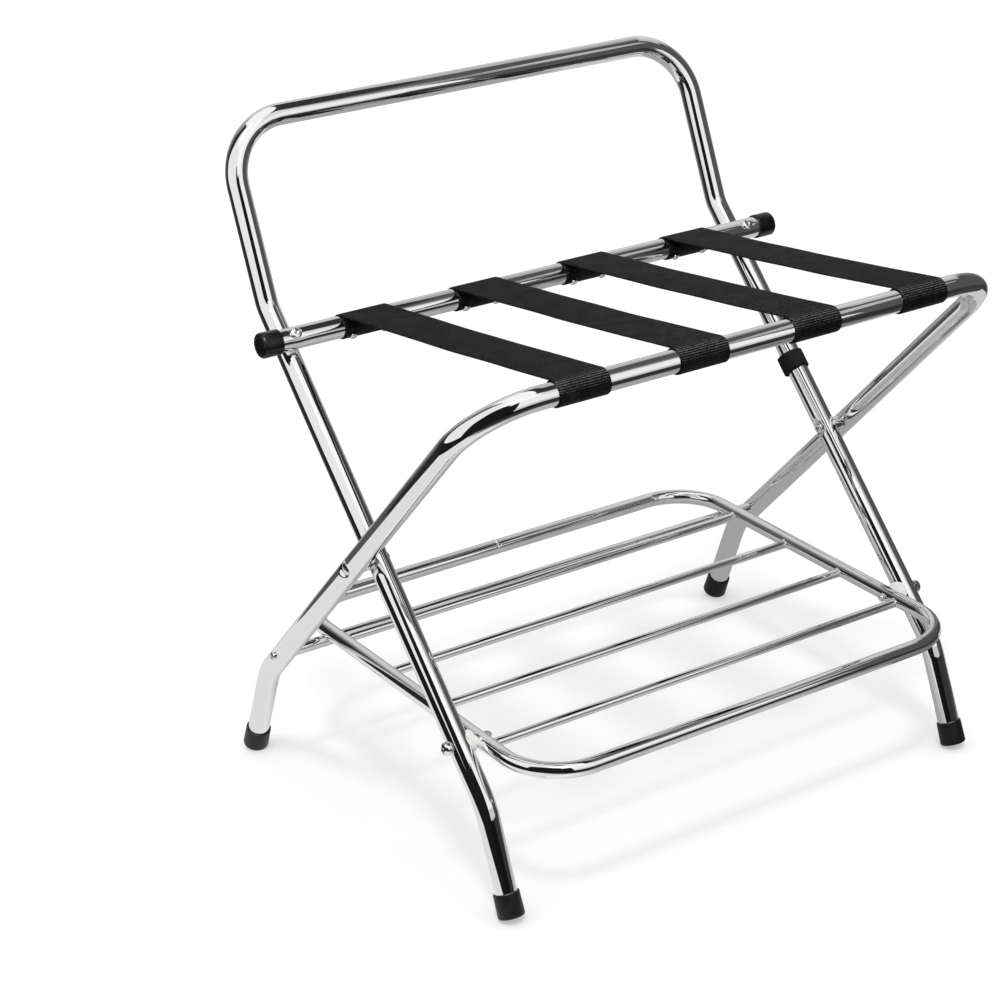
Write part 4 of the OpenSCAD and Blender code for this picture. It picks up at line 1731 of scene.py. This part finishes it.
@dataclass
class Shelf:
    """Shoe shelf: a closed loop of tube with four slats welded across it."""

    rack: RackGeometry
    front: float = 105.5
    corner_r: float = 60.0
    wall: float = 1.0
    slat_r: float = 4.65
    slat_drop: float = 1.2
    slat_count: int = 4
    slat_rings: tuple[float, ...] = (0.0, 0.12, 0.3, 0.55, 0.9, 1.4, 4.0, 30.0)
    slat_sides: int = 40
    fillet: float = 1.5
    fillet_swell: float = 0.8
    seam_x: float = -8.3
    seam_reach: float = 4.0
    seam_step: float = 0.35
    seam_girth: float = 12.0
    ridge_h: float = 0.35
    ridge_w: float = 1.0
    groove_h: float = 0.18
    groove_x: float = 1.7
    groove_w: float = 0.5
    sides: int = 56

    def loop(self) -> None:
        """The bent tube, with the weld that closes it in the rear bar."""
        rack = self.rack
        x, back = rack.shelf_x, rack.shelf_back
        ends = ((-x, -self.front), (x, -self.front), (x, back), (-x, back))
        corners = [rack.on_shelf(end_x, end_y, 0) for end_x, end_y in ends]
        up = rack.on_shelf(0, 0, 1) - rack.on_shelf(0, 0, 0)
        seam = rack.on_shelf(self.seam_x, back, 0)
        closer = [Closer(seam, self.seam_reach, self.seam_step)]
        line = stations(corners, [self.corner_r] * len(corners), up, closed=True, closer=closer)

        def press(co: Array, depth: float) -> Array:
            """Raises the weld's low ridge out of the outside, with a groove on each side.

            Args:
                co: Points of a skin.
                depth: How far the skin lies below the outside.

            Returns:
                The moved points.
            """
            if depth:
                return co
            off = np.abs(co[:, 0] - seam[0])
            at_back = np.linalg.norm(co[:, 1:] - seam[1:], axis=1) < self.seam_girth
            ridge = self.ridge_h * np.exp(-((off / self.ridge_w) ** 2))
            groove = self.groove_h * np.exp(-(((off - self.groove_x) / self.groove_w) ** 2))
            result = co.copy()
            swell = np.where(at_back, ridge - groove, 0) / rack.shelf_r
            result[:, 1:] += swell[:, None] * (co[:, 1:] - seam[1:])
            return result

        build = MeshBuild().tube(line, rack.shelf_r, self.wall, self.sides, press)
        settle(build.piece("shelf_loop", 50), CHROME, Body.SHELF, "shelf_frame")

    def ring(self, side: Side, back: float, gap: float) -> list[Array]:
        """One ring of a slat, wider in the weld at its end.

        Args:
            side: The slat's end.
            back: Distance of the slat behind the hinge.
            gap: Distance of the ring from the side bar.

        Returns:
            The ring's points.
        """
        rack, circle = self.rack, unit_circle(self.slat_sides)
        spread = self.fillet - math.sqrt(max(self.fillet**2 - max(self.fillet - gap, 0) ** 2, 0))
        r, bar = self.slat_r + self.fillet_swell * spread, rack.shelf_r + rack.seat_gap
        up = np.clip(r * circle[:, 1] - self.slat_drop, -bar, bar)
        reach = side.value * (rack.shelf_x - np.sqrt(bar**2 - up**2) - gap)
        return [rack.on_shelf(x, back + r * c, u) for x, c, u in zip(reach, circle[:, 0], up)]

    def slat(self, index: int) -> None:
        """One slat, coped to the side bars and run out into its welds.

        Args:
            index: Its number, from 1 at the front.
        """
        back = index * (self.front + self.rack.shelf_back) / (self.slat_count + 1) - self.front
        rings = [self.ring(side, back, gap) for side in Side for gap in self.slat_rings[:: -side.value]]
        co = np.array(rings)
        uv = texture(around(self.slat_sides) * self.slat_r, co[:, 0, 0])
        piece = MeshBuild().grid(co, uv, caps=True).piece(f"shelf_bar_{index}", 60)
        settle(piece, CHROME, Body.SHELF, f"shelf_slat_{index}")

    def build(self) -> None:
        """Builds the loop and the slats."""
        self.loop()
        for index in range(1, self.slat_count + 1):
            self.slat(index)


@dataclass
class ShelfHinges:
    """Bolt, saddle spacer and cap nut that hang the shelf on each inner leg.

    spacer_rings are radii in the spacer's hollowed end; nut_bevel is the share of the nut's width
    that its bevelled ends keep.
    """

    rack: RackGeometry
    bolt_d: float = 5.0
    bolt_head_d: float = 13.4
    bolt_head_h: float = 7.2
    bolt_turn: float = 20.0
    bolt_past: float = 1.0
    spacer_r: float = 11.0
    spacer_edge: float = 0.5
    spacer_rings: tuple[float, ...] = (11.0, 10.6, 8.0, 5.5)
    spacer_sides: int = 64
    wrap: float = 5.0
    nut_flats: float = 8.0
    nut_h: float = 3.4
    nut_turn: float = 12.0
    nut_bevel: float = 0.93
    nut_bevel_low: float = 0.35
    nut_bevel_high: float = 0.6
    nut_sides: int = 48
    dome_h: float = 2.8
    bore_past: float = 1.3

    @cached_property
    def nut_x(self) -> float:
        """Where the cap nut meets the side bar."""
        return self.rack.shelf_x - self.rack.shelf_r - self.rack.face_gap

    @cached_property
    def bore(self) -> float:
        """Radius of the holes round the bolt."""
        return self.bolt_d / 2 + self.rack.seat_gap

    def bolt(self, side: Side) -> None:
        """Round-headed bolt through the leg and the side bar.

        Args:
            side: Its side.
        """
        rack = self.rack
        length = rack.inner_x + rack.tube_r - self.nut_x + self.nut_h + self.bolt_past
        place = side.outward(rack.inner_x + rack.tube_r + rack.seat_gap, rack.hinge, self.bolt_turn)
        screw = PanScrew(self.bolt_d, self.bolt_head_d, self.bolt_head_h, length)
        piece = MeshBuild().copies(screw.build(), [place]).piece(f"hinge_bolt_{side.word}")
        settle(piece, PLATED, Body.INNER, f"shelf_bolt_{side.word}")

    def spacer(self, side: Side) -> None:
        """White spacer, flat against the side bar and hollowed to sit on the leg.

        Args:
            side: Its side.
        """
        rack = self.rack
        start = rack.shelf_x + rack.shelf_r + rack.face_gap
        seat, full = rack.tube_r + rack.seat_gap, rack.inner_x - rack.tube_r + self.wrap
        flat = [(self.bore, 0.0), (self.spacer_r - self.spacer_edge, 0.0), (self.spacer_r, self.spacer_edge)]
        hollow = [(radius, None) for radius in (*self.spacer_rings, self.bore)]
        rows = []
        for radius, lift in flat + hollow + flat[:1]:
            ring = radius * unit_circle(self.spacer_sides)
            saddle = rack.inner_x - np.sqrt(np.maximum(seat**2 - (ring @ rack.lean) ** 2, 0))
            x = np.minimum(full, saddle) if lift is None else np.full(len(ring), start + lift)
            rows.append(np.column_stack([side.value * x, rack.hinge + ring]))
        uv = texture(around(self.spacer_sides) * self.spacer_r, np.arange(len(rows)) * 3.0)
        piece = MeshBuild().grid(np.array(rows), uv).piece(f"hinge_saddle_{side.word}")
        settle(piece, NYLON, Body.INNER, f"shelf_spacer_{side.word}")

    def nut(self, side: Side) -> None:
        """Cap nut inside the side bar.

        Args:
            side: Its side.
        """
        half, height, bevel = self.nut_flats / 2, self.nut_h, self.nut_bevel
        turn, circle = around(self.nut_sides)[:-1], unit_circle(self.nut_sides)
        hexagon = half / np.cos(turn % (math.pi / 3) - math.pi / 6)
        corner = half / math.cos(math.pi / 6)
        rings = [(self.bore, 0.0), (bevel * hexagon, 0.0)]
        rings += [(hexagon, self.nut_bevel_low), (hexagon, height - self.nut_bevel_high)]
        rings += [(np.minimum(hexagon, bevel * corner), height), (bevel * half, height)]
        for t in np.linspace(0.15, math.pi / 2, 8):
            rings.append((bevel * half * math.cos(t), height + self.dome_h * math.sin(t)))
        rings += [(0.0, height + self.bore_past), (self.bore, height + self.bore_past), (self.bore, 0.0)]
        rows = []
        for radius, up in rings:
            rows.append(np.column_stack([circle * np.reshape(radius, (-1, 1)), np.full(len(circle), up)]))
        co = placed(np.array(rows), side.inward(self.nut_x, self.rack.hinge, self.nut_turn))
        uv = np.zeros((len(rings), len(circle) + 1, 2))
        piece = MeshBuild().grid(co, uv).piece(f"hinge_cap_nut_{side.word}", 25)
        settle(piece, PLATED, Body.INNER, f"shelf_nut_{side.word}")

    def build(self) -> None:
        """Builds the hinges of both sides."""
        for side in Side:
            self.bolt(side)
            self.spacer(side)
            self.nut(side)


@dataclass
class CrossRod:
    """Rod between the outer legs that the shelf lies on, and its screws.

    rings are the places of the rod's rings, as shares of its half length.
    """

    rack: RackGeometry
    rings: tuple[float, ...] = (-1.0, -0.97, -0.5, 0.0, 0.5, 0.97, 1.0)
    sides: int = 48
    screw: PanScrew = PanScrew(4.8, 9.2, 3.2, 42.2)
    screw_seed: int = 9

    def rod(self) -> None:
        """The rod, its ends coped to the legs."""
        rack = self.rack
        ring = rack.rod_r * unit_circle(self.sides)
        off = ring @ polar(1.0, 90 - rack.outer_angle)
        end = rack.outer_x - np.sqrt((rack.tube_r + rack.seat_gap) ** 2 - off**2)
        co = np.array([np.column_stack([share * end, rack.rod + ring]) for share in self.rings])
        uv = texture(around(self.sides) * rack.rod_r, co[:, 0, 0])
        piece = MeshBuild().grid(co, uv, caps=True).piece("cross_rod", 60)
        settle(piece, CHROME, Body.OUTER, "lower_cross_rod")

    def screws(self) -> None:
        """The screws through the legs into the rod's ends."""
        x = self.rack.outer_x + self.rack.tube_r + self.rack.seat_gap
        seats = [(at(side.value * x, self.rack.rod), side.value * X_AXIS) for side in Side]
        self.screw.row("cross_rod_screws", "lower_cross_screws", Body.OUTER, seats, self.screw_seed)

    def build(self) -> None:
        """Builds the rod and its screws."""
        self.rod()
        self.screws()


@dataclass
class KeeperBand:
    """Hook-and-loop band wound round the right inner leg, lapping itself on its inner side.

    Turns are in degrees. The band climbs onto itself over ramp; its tip lifts off over tip_turn
    and narrows over tip_len by the share tip_taper.
    """

    rack: RackGeometry
    rise: float = 79.0
    width: float = 20.0
    thick: float = 2.1
    lap: float = 188.0
    lap_middle: float = 264.0
    lap_gap: float = 0.06
    ramp: float = 24.0
    ramp_short: float = 2.0
    tip_lift: float = 0.5
    tip_turn: float = 10.0
    tip_taper: float = 0.28
    tip_len: float = 5.0
    skew: float = 0.6
    step: float = 3.0
    face_points: int = 9

    @cached_property
    def section(self) -> Array:
        """The band's cross-section.

        Returns:
            (across, outward) pairs.
        """
        half, edge = self.width / 2, self.thick / 2
        flat = np.linspace(-half + edge, half - edge, self.face_points)
        bend = np.radians([60, 30, 0, -30, -60])
        side = np.column_stack([half - edge + edge * np.cos(bend), edge + edge * np.sin(bend)])
        top = np.column_stack([flat, np.full(len(flat), self.thick)])
        return np.vstack([top, side, top[::-1] - [0, self.thick], side[::-1] * [-1, 1]])

    def dented(self, co: Array) -> Array:
        """Dents the lap where the folded shelf's side bar lies against it.

        Args:
            co: The band's points.

        Returns:
            The moved points.
        """
        rack = self.rack
        offset = np.column_stack([co[:, 0] - rack.shelf_x, (co[:, 1:] - rack.pivot) @ rack.lean])
        away = np.linalg.norm(offset, axis=1)
        clear = rack.shelf_r + rack.soft_gap
        push = np.maximum(clear / np.maximum(away, SLIVER) - 1, 0)[:, None] * offset
        return co + np.column_stack([push[:, 0], push[:, 1:] * rack.lean])

    def build(self) -> None:
        """Builds the band."""
        rack, section = self.rack, self.section
        first = self.lap_middle - self.lap / 2
        lapped, last = first + 360, first + 360 + self.lap
        sweep = np.arange(first, last + self.step / 2, self.step)
        inner = rack.tube_r + rack.seat_gap
        climb = smooth_step(lapped - self.ramp, lapped - self.ramp_short, sweep)
        lift = self.tip_lift * smooth_step(last - self.tip_turn, last, sweep)
        base = inner + climb * (self.thick + self.lap_gap) + lift
        angles = np.radians(sweep)[:, None]
        radius = base[:, None] + section[:, 1]
        near_end = np.radians(np.minimum(sweep - first, last - sweep)) * (inner + self.thick)
        taper = 1 - self.tip_taper * np.clip(1 - near_end / self.tip_len, 0, 1)[:, None] ** 2
        along = section[:, 0] * taper + self.skew * np.sin(angles / 2)
        co = np.stack([radius * np.cos(angles), radius * np.sin(angles), along], -1)
        middle = at(rack.inner_x, rack.pivot + polar(self.rise, rack.inner_angle))
        co = placed(co, standing(middle, at(0, polar(1, rack.inner_angle))))
        uv = texture(np.append(section[:, 0], section[0, 0]), np.radians(sweep - first) * inner)
        build = MeshBuild().grid(co, uv, caps=True).moved(self.dented)
        settle(build.piece("keeper_tape", 40), HOOK_BAND, Body.INNER, "keeper_band")


# ---- Studio ----


def box(low: float, high: float, bottom: float, top: float) -> tuple[Span, ...]:
    """Corners of a rectangle on a wall of the studio."""
    return (low, bottom), (high, bottom), (high, top), (low, top)


def white_paths(graph: Graph, kinds: Sequence[str]) -> Sock:
    """1 on the kinds of ray that see white, 0 on the others.

    Args:
        graph: The node tree.
        kinds: Those kinds.

    Returns:
        The factor.
    """
    first, *others = [graph.add("ShaderNodeLightPath", {}, {}, f"Is {kind} Ray") for kind in kinds]
    for other in others:
        first = first + other
    return first.held()


@dataclass(frozen=True)
class Card:
    """Flat studio card that only reflections see; fade is (start, end, level there) along X."""

    name: str
    corners: tuple[Triple, ...]
    level: float
    fade: Triple | None = None

    def shader(self, graph: Graph) -> Sock:
        """Glow of the card.

        Args:
            graph: Its node tree.

        Returns:
            The shader.
        """
        colour: Sock | tuple = (self.level, self.level, self.level, 1.0)
        if self.fade is not None:
            start, end, level = self.fade
            share = graph.part(graph.coordinates("Object"), "X").rise(start, end)
            colour = graph.tint((self.level,) * 3, (level,) * 3, share)
        return graph.add("ShaderNodeEmission", {}, {"Color": colour, "Strength": 1.0})


@dataclass(frozen=True)
class View:
    """Camera; angles are in degrees, and its place is given by how it looks at target."""

    lens: float = 96.455
    sensor: float = 36.0
    shift: Span = (-0.1133, -0.0598)
    clip_end: float = 100.0
    azimuth: float = -35.408
    height: float = 22.2957
    roll: float = -0.878
    distance: float = 2.69181
    target: Triple = (0.00004, -0.01104, 0.34618)

    @property
    def matrix(self) -> Array:
        """Its place and turn.

        Returns:
            A 4 x 4 matrix.
        """
        azimuth, height, roll = np.radians([self.azimuth, self.height, self.roll])
        level = math.cos(height)
        back = np.array([math.sin(azimuth) * level, -math.cos(azimuth) * level, math.sin(height)])
        across = unit(np.cross(-back, Z_AXIS))
        up = np.cross(back, across)
        matrix = np.eye(4)
        matrix[:3, 0] = across * math.cos(roll) + up * math.sin(roll)
        matrix[:3, 1] = up * math.cos(roll) - across * math.sin(roll)
        matrix[:3, 2] = back
        matrix[:3, 3] = self.target + self.distance * back
        return matrix


@dataclass
class Studio:
    """White sweep, soft light, and the lamps and flags that the chrome reflects.

    room is the left, right, front and back wall's place and the ceiling's height.
    """

    room: tuple[float, ...] = (-0.75, 1.19, -1.21, 1.95, 2.8)
    ambient: float = 0.82
    floor_colour: Rgb = (0.72, 0.72, 0.72)
    floor_roughness: float = 0.9
    floor_lift: float = 0.36
    floor_half: float = 14.0
    floor_z: float = -0.0002
    floor_card_z: float = 0.0008
    white_to: tuple[str, ...] = ("Camera", "Glossy", "Transmission")
    sun_at: Triple = (-0.6, -0.9, 2.6)
    sun_from: Triple = (-0.25, -0.34, 1.0)
    key_level: float = 0.62
    key_spread: float = 8.0
    rim_level: float = 5.0
    rim_spread: float = 22.0
    view: View = View()

    def cards(self) -> list[Card]:
        """Lamps and flags, laid out as the walls of a room round the rack.

        Returns:
            The cards.
        """
        left, right, front, back, top = self.room
        forward = {
            "front_lamp": (box(-0.40, 0.88, 0.58, 1.45), 0.92),
            "front_lamp_low": (box(-0.40, 0.76, 0.32, 0.58), 0.62),
            "front_lamp_top": (box(left, 0.45, 1.45, top), 1.05),
            "front_lamp_top_right": (box(0.45, 0.92, 1.45, top), 0.76),
            "front_low_flag_left": (box(left, 0.10, 0, 0.32), 0.007),
            "front_low_flag_right": (box(0.10, right, 0, 0.32), 0.035),
            "front_left_flag": (box(left, -0.40, 0.32, 1.45), 0.010),
            "front_right_edge": (box(0.76, 0.88, 0.32, 0.58), 0.09),
            "front_right_low": (box(0.88, right, 0.32, 1.45), 0.09),
            "front_right_high": (box(0.92, right, 1.45, top), 0.32),
        }
        lamp_front = ((-0.28, 0.34), (-0.27, 0.66), (-0.42, 1.05), (-0.68, 1.38), (front, 1.75))
        lamp_low = ((0.27, 0.42), (0.38, 0.50), (0.56, 0.62), (0.60, 0.85), (0.45, 1.20), (0.27, top))
        leftward = {
            "left_lamp": (((0.0, 0.37), *lamp_low, (front, top), *lamp_front[::-1]), 0.88),
            "left_front_flag": (((front, 0), (0.27, 0), (0.27, 0.42), (0.0, 0.37), *lamp_front), 0.011),
            "left_rear_flag": (((0.27, 0), (1.0, 0), (1.0, top), *lamp_low[::-1]), 0.022),
            "left_rear_low": (box(1.0, back, 0, 0.5), 0.06),
            "left_rear_wall": (box(1.0, back, 0.5, 1.5), 0.12),
            "left_rear_high": (box(1.0, back, 1.5, top), 0.23),
        }
        stepped = ((0.2, 0), (0.62, 0), (0.62, 1.15), (0.3, 1.15), (0.3, 1.38), (0.2, 1.38))
        notched = ((-0.62, 1.5), (-0.2, 1.5), (-0.2, 1.9), (0.2, 1.9), (0.2, top), (-0.62, top))
        rightward = {
            "right_flag": (box(front, 0.2, 0.3, 1.38), 0.085),
            "right_low_flag": (box(front, 0.2, 0, 0.3), 0.045),
            "right_rear_flag": (stepped, 0.17),
            "right_lamp_front": (box(front, -0.62, 1.5, 2.02), 0.50),
            "right_strip": (box(front, -0.2, 1.38, 1.5), 0.10),
            "right_upper_front": (box(front, -0.62, 2.02, top), 0.11),
            "right_upper_flag": (notched, 0.09),
            "right_lamp": (box(-0.2, 0.3, 1.38, 1.9), 0.52),
            "right_lamp_rear": (box(0.3, 0.62, 1.15, 1.9), 0.64),
            "right_upper_lamp": (box(0.2, 0.62, 1.9, 2.3), 0.32),
            "right_top_flag": (box(0.2, 0.62, 2.3, top), 0.11),
            "right_rear_lamp": (box(0.62, back, 1.0, 1.7), 0.68),
            "right_rear_high": (box(0.62, back, 1.7, top), 0.50),
            "right_rear_wall": (box(0.62, back, 0.2, 1.0), 0.54),
            "right_rear_low": (box(0.62, back, 0, 0.2), 0.2),
        }
        backward = {
            "back_wall": (box(-0.20, right, 0.75, top), 0.64),
            "back_wall_left": (box(left, -0.20, 0.75, top), 0.38),
            "back_low": (box(-0.20, right, 0, 0.75), 0.33),
            "back_low_left": (box(left, -0.20, 0, 0.75), 0.15),
        }
        above = {
            "top_lamp": (box(left, 0.62, front, back), 1.0),
            "top_flag": (box(0.62, right, front, back), 0.035),
        }
        rear_left = ((left, 0.42), (-0.30, 0.86), (-0.17, 1.0), (-0.17, back), (left, back))
        rear = ((-0.30, 0.0), (-0.05, 0.0), (-0.05, back), (-0.17, back), (-0.17, 1.0), (-0.30, 0.86))
        below = {
            "floor_front_flag": (box(left, right, front, -0.66), 0.03),
            "floor_front_edge": (box(left, 0.57, -0.66, -0.52), 0.25),
            "floor_left": (((left, -0.52), (-0.30, -0.52), (-0.30, 0.86), (left, 0.42)), 0.79),
            "floor_rear_left_flag": (rear_left, 0.09),
            "floor_middle": (box(-0.30, -0.05, -0.52, 0.0), 0.97, (-0.30, -0.06, 0.45)),
            "floor_rear": (rear, 0.86, (-0.30, -0.20, 0.46)),
            "floor_centre": (box(-0.05, 0.16, -0.52, 0.03), 0.52),
            "floor_centre_rear": (box(-0.05, 0.16, 0.03, back), 0.40),
            "floor_right_edge": (box(0.16, 0.27, -0.52, -0.15), 0.40),
            "floor_right_front": (box(0.27, 0.57, -0.52, -0.15), 0.19),
            "floor_right": (box(0.16, 0.55, -0.15, back), 0.39),
            "floor_right_flag": (box(0.57, right, -0.66, -0.2), 0.06),
            "floor_right_rear": (box(0.55, right, -0.2, back), 0.62),
        }
        walls = ((1, front, forward), (1, back, backward), (0, left, leftward), (0, right, rightward))
        walls += ((2, top, above), (2, self.floor_card_z, below))
        made = []
        for axis, place, patches in walls:
            for name, (corners, *levels) in patches.items():
                made.append(Card(name, tuple((*c[:axis], place, *c[axis:]) for c in corners), *levels))
        return made

    def sheet(self, name: str, corners: Sequence[Triple], shade: Callable[[Graph], Sock]) -> bpy.types.Object:
        """Makes a flat sheet of the studio, which is not sampled as a lamp.

        Args:
            name: Its name and its material's.
            corners: Its corners.
            shade: Makes its shader.

        Returns:
            The sheet.
        """
        mesh = bpy.data.meshes.new(name)
        mesh.from_pydata(list(corners), [], [tuple(range(len(corners)))])
        surface = bpy.data.materials.new(name)
        surface.use_nodes = True
        surface.cycles.emission_sampling = "NONE"
        graph = Graph(surface.node_tree)
        graph.add("ShaderNodeOutputMaterial", {}, {"Surface": shade(graph)})
        mesh.materials.append(surface)
        made = linked(name, mesh)
        return made

    def floor_shader(self, graph: Graph) -> Sock:
        """Shader of the floor, lifted towards white where the camera looks straight at it.

        Args:
            graph: Its node tree.

        Returns:
            The shader.
        """
        return graph.surface(
            {
                "Base Color": (*self.floor_colour, 1.0),
                "Roughness": self.floor_roughness,
                "Specular IOR Level": 0.0,
                "Emission Color": (1.0, 1.0, 1.0, 1.0),
                "Emission Strength": white_paths(graph, self.white_to) * self.floor_lift,
            }
        )

    def world(self) -> None:
        """Even light from all round, white to the eye."""
        world = bpy.data.worlds.new("studio")
        bpy.context.scene.world = world
        world.use_nodes = True
        world.cycles.sampling_method = "NONE"
        graph = Graph(world.node_tree)
        level = self.ambient + white_paths(graph, self.white_to) * (1.0 - self.ambient)
        back = graph.add("ShaderNodeBackground", {}, {"Color": (1.0, 1.0, 1.0, 1.0), "Strength": level})
        graph.add("ShaderNodeOutputWorld", {}, {"Surface": back})

    def sun(self, name: str, level: float, spread: float) -> bpy.types.Object:
        """Distant lamp at the upper front left.

        Args:
            name: The lamp's name.
            level: Its strength.
            spread: Its apparent size, in degrees.

        Returns:
            The lamp.
        """
        data = bpy.data.lights.new(name, "SUN")
        data.energy, data.angle = level, math.radians(spread)
        made = linked(name, data)
        made.matrix_world = Matrix(standing(np.array(self.sun_at), np.array(self.sun_from)).tolist())
        return made

    def camera(self) -> None:
        """Camera at the height and turn of a standing person's three-quarter view."""
        data = bpy.data.cameras.new("camera")
        data.lens, data.sensor_width, data.clip_end = self.view.lens, self.view.sensor, self.view.clip_end
        data.shift_x, data.shift_y = self.view.shift
        made = linked("camera", data)
        made.matrix_world = Matrix(self.view.matrix.tolist())
        bpy.context.scene.camera = made

    def build(self) -> None:
        """Builds the studio: cards, floor, world, a soft key, a wider lamp for the gloss, camera."""
        for card in self.cards():
            made = self.sheet(f"card_{card.name}", card.corners, card.shader)
            made.visible_camera = made.visible_diffuse = False
            made.visible_shadow = made.visible_transmission = False
        half, z = self.floor_half, self.floor_z
        self.sheet("floor", [(x, y, z) for x, y in box(-half, half, -half, half)], self.floor_shader)
        self.world()
        self.sun("key", self.key_level, self.key_spread)
        rim = self.sun("rim", self.rim_level, self.rim_spread)
        rim.visible_diffuse = rim.visible_transmission = False
        self.camera()
        bpy.context.scene.view_settings.view_transform = "Standard"


def main() -> None:
    """Builds the rack's pieces, then the studio, and logs each piece's faces."""
    logging.basicConfig(level=logging.INFO, format="%(message)s")
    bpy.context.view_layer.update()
    joints = {joint["name"]: np.array(joint["pos_m"], float)[1:] / MM for joint in frame["joints"]}
    rack = RackGeometry(pivot=joints["fold"], hinge=joints["shelf_lift"])
    assemblies = (LegFrames, RearCrossTube, Feet, Straps, Pivots, Shelf, ShelfHinges, CrossRod, KeeperBand)
    for assembly in assemblies:
        assembly(rack).build()
        log.info("%s built", assembly.__name__)
    Studio().build()


if __name__ == "__main__":
    main()
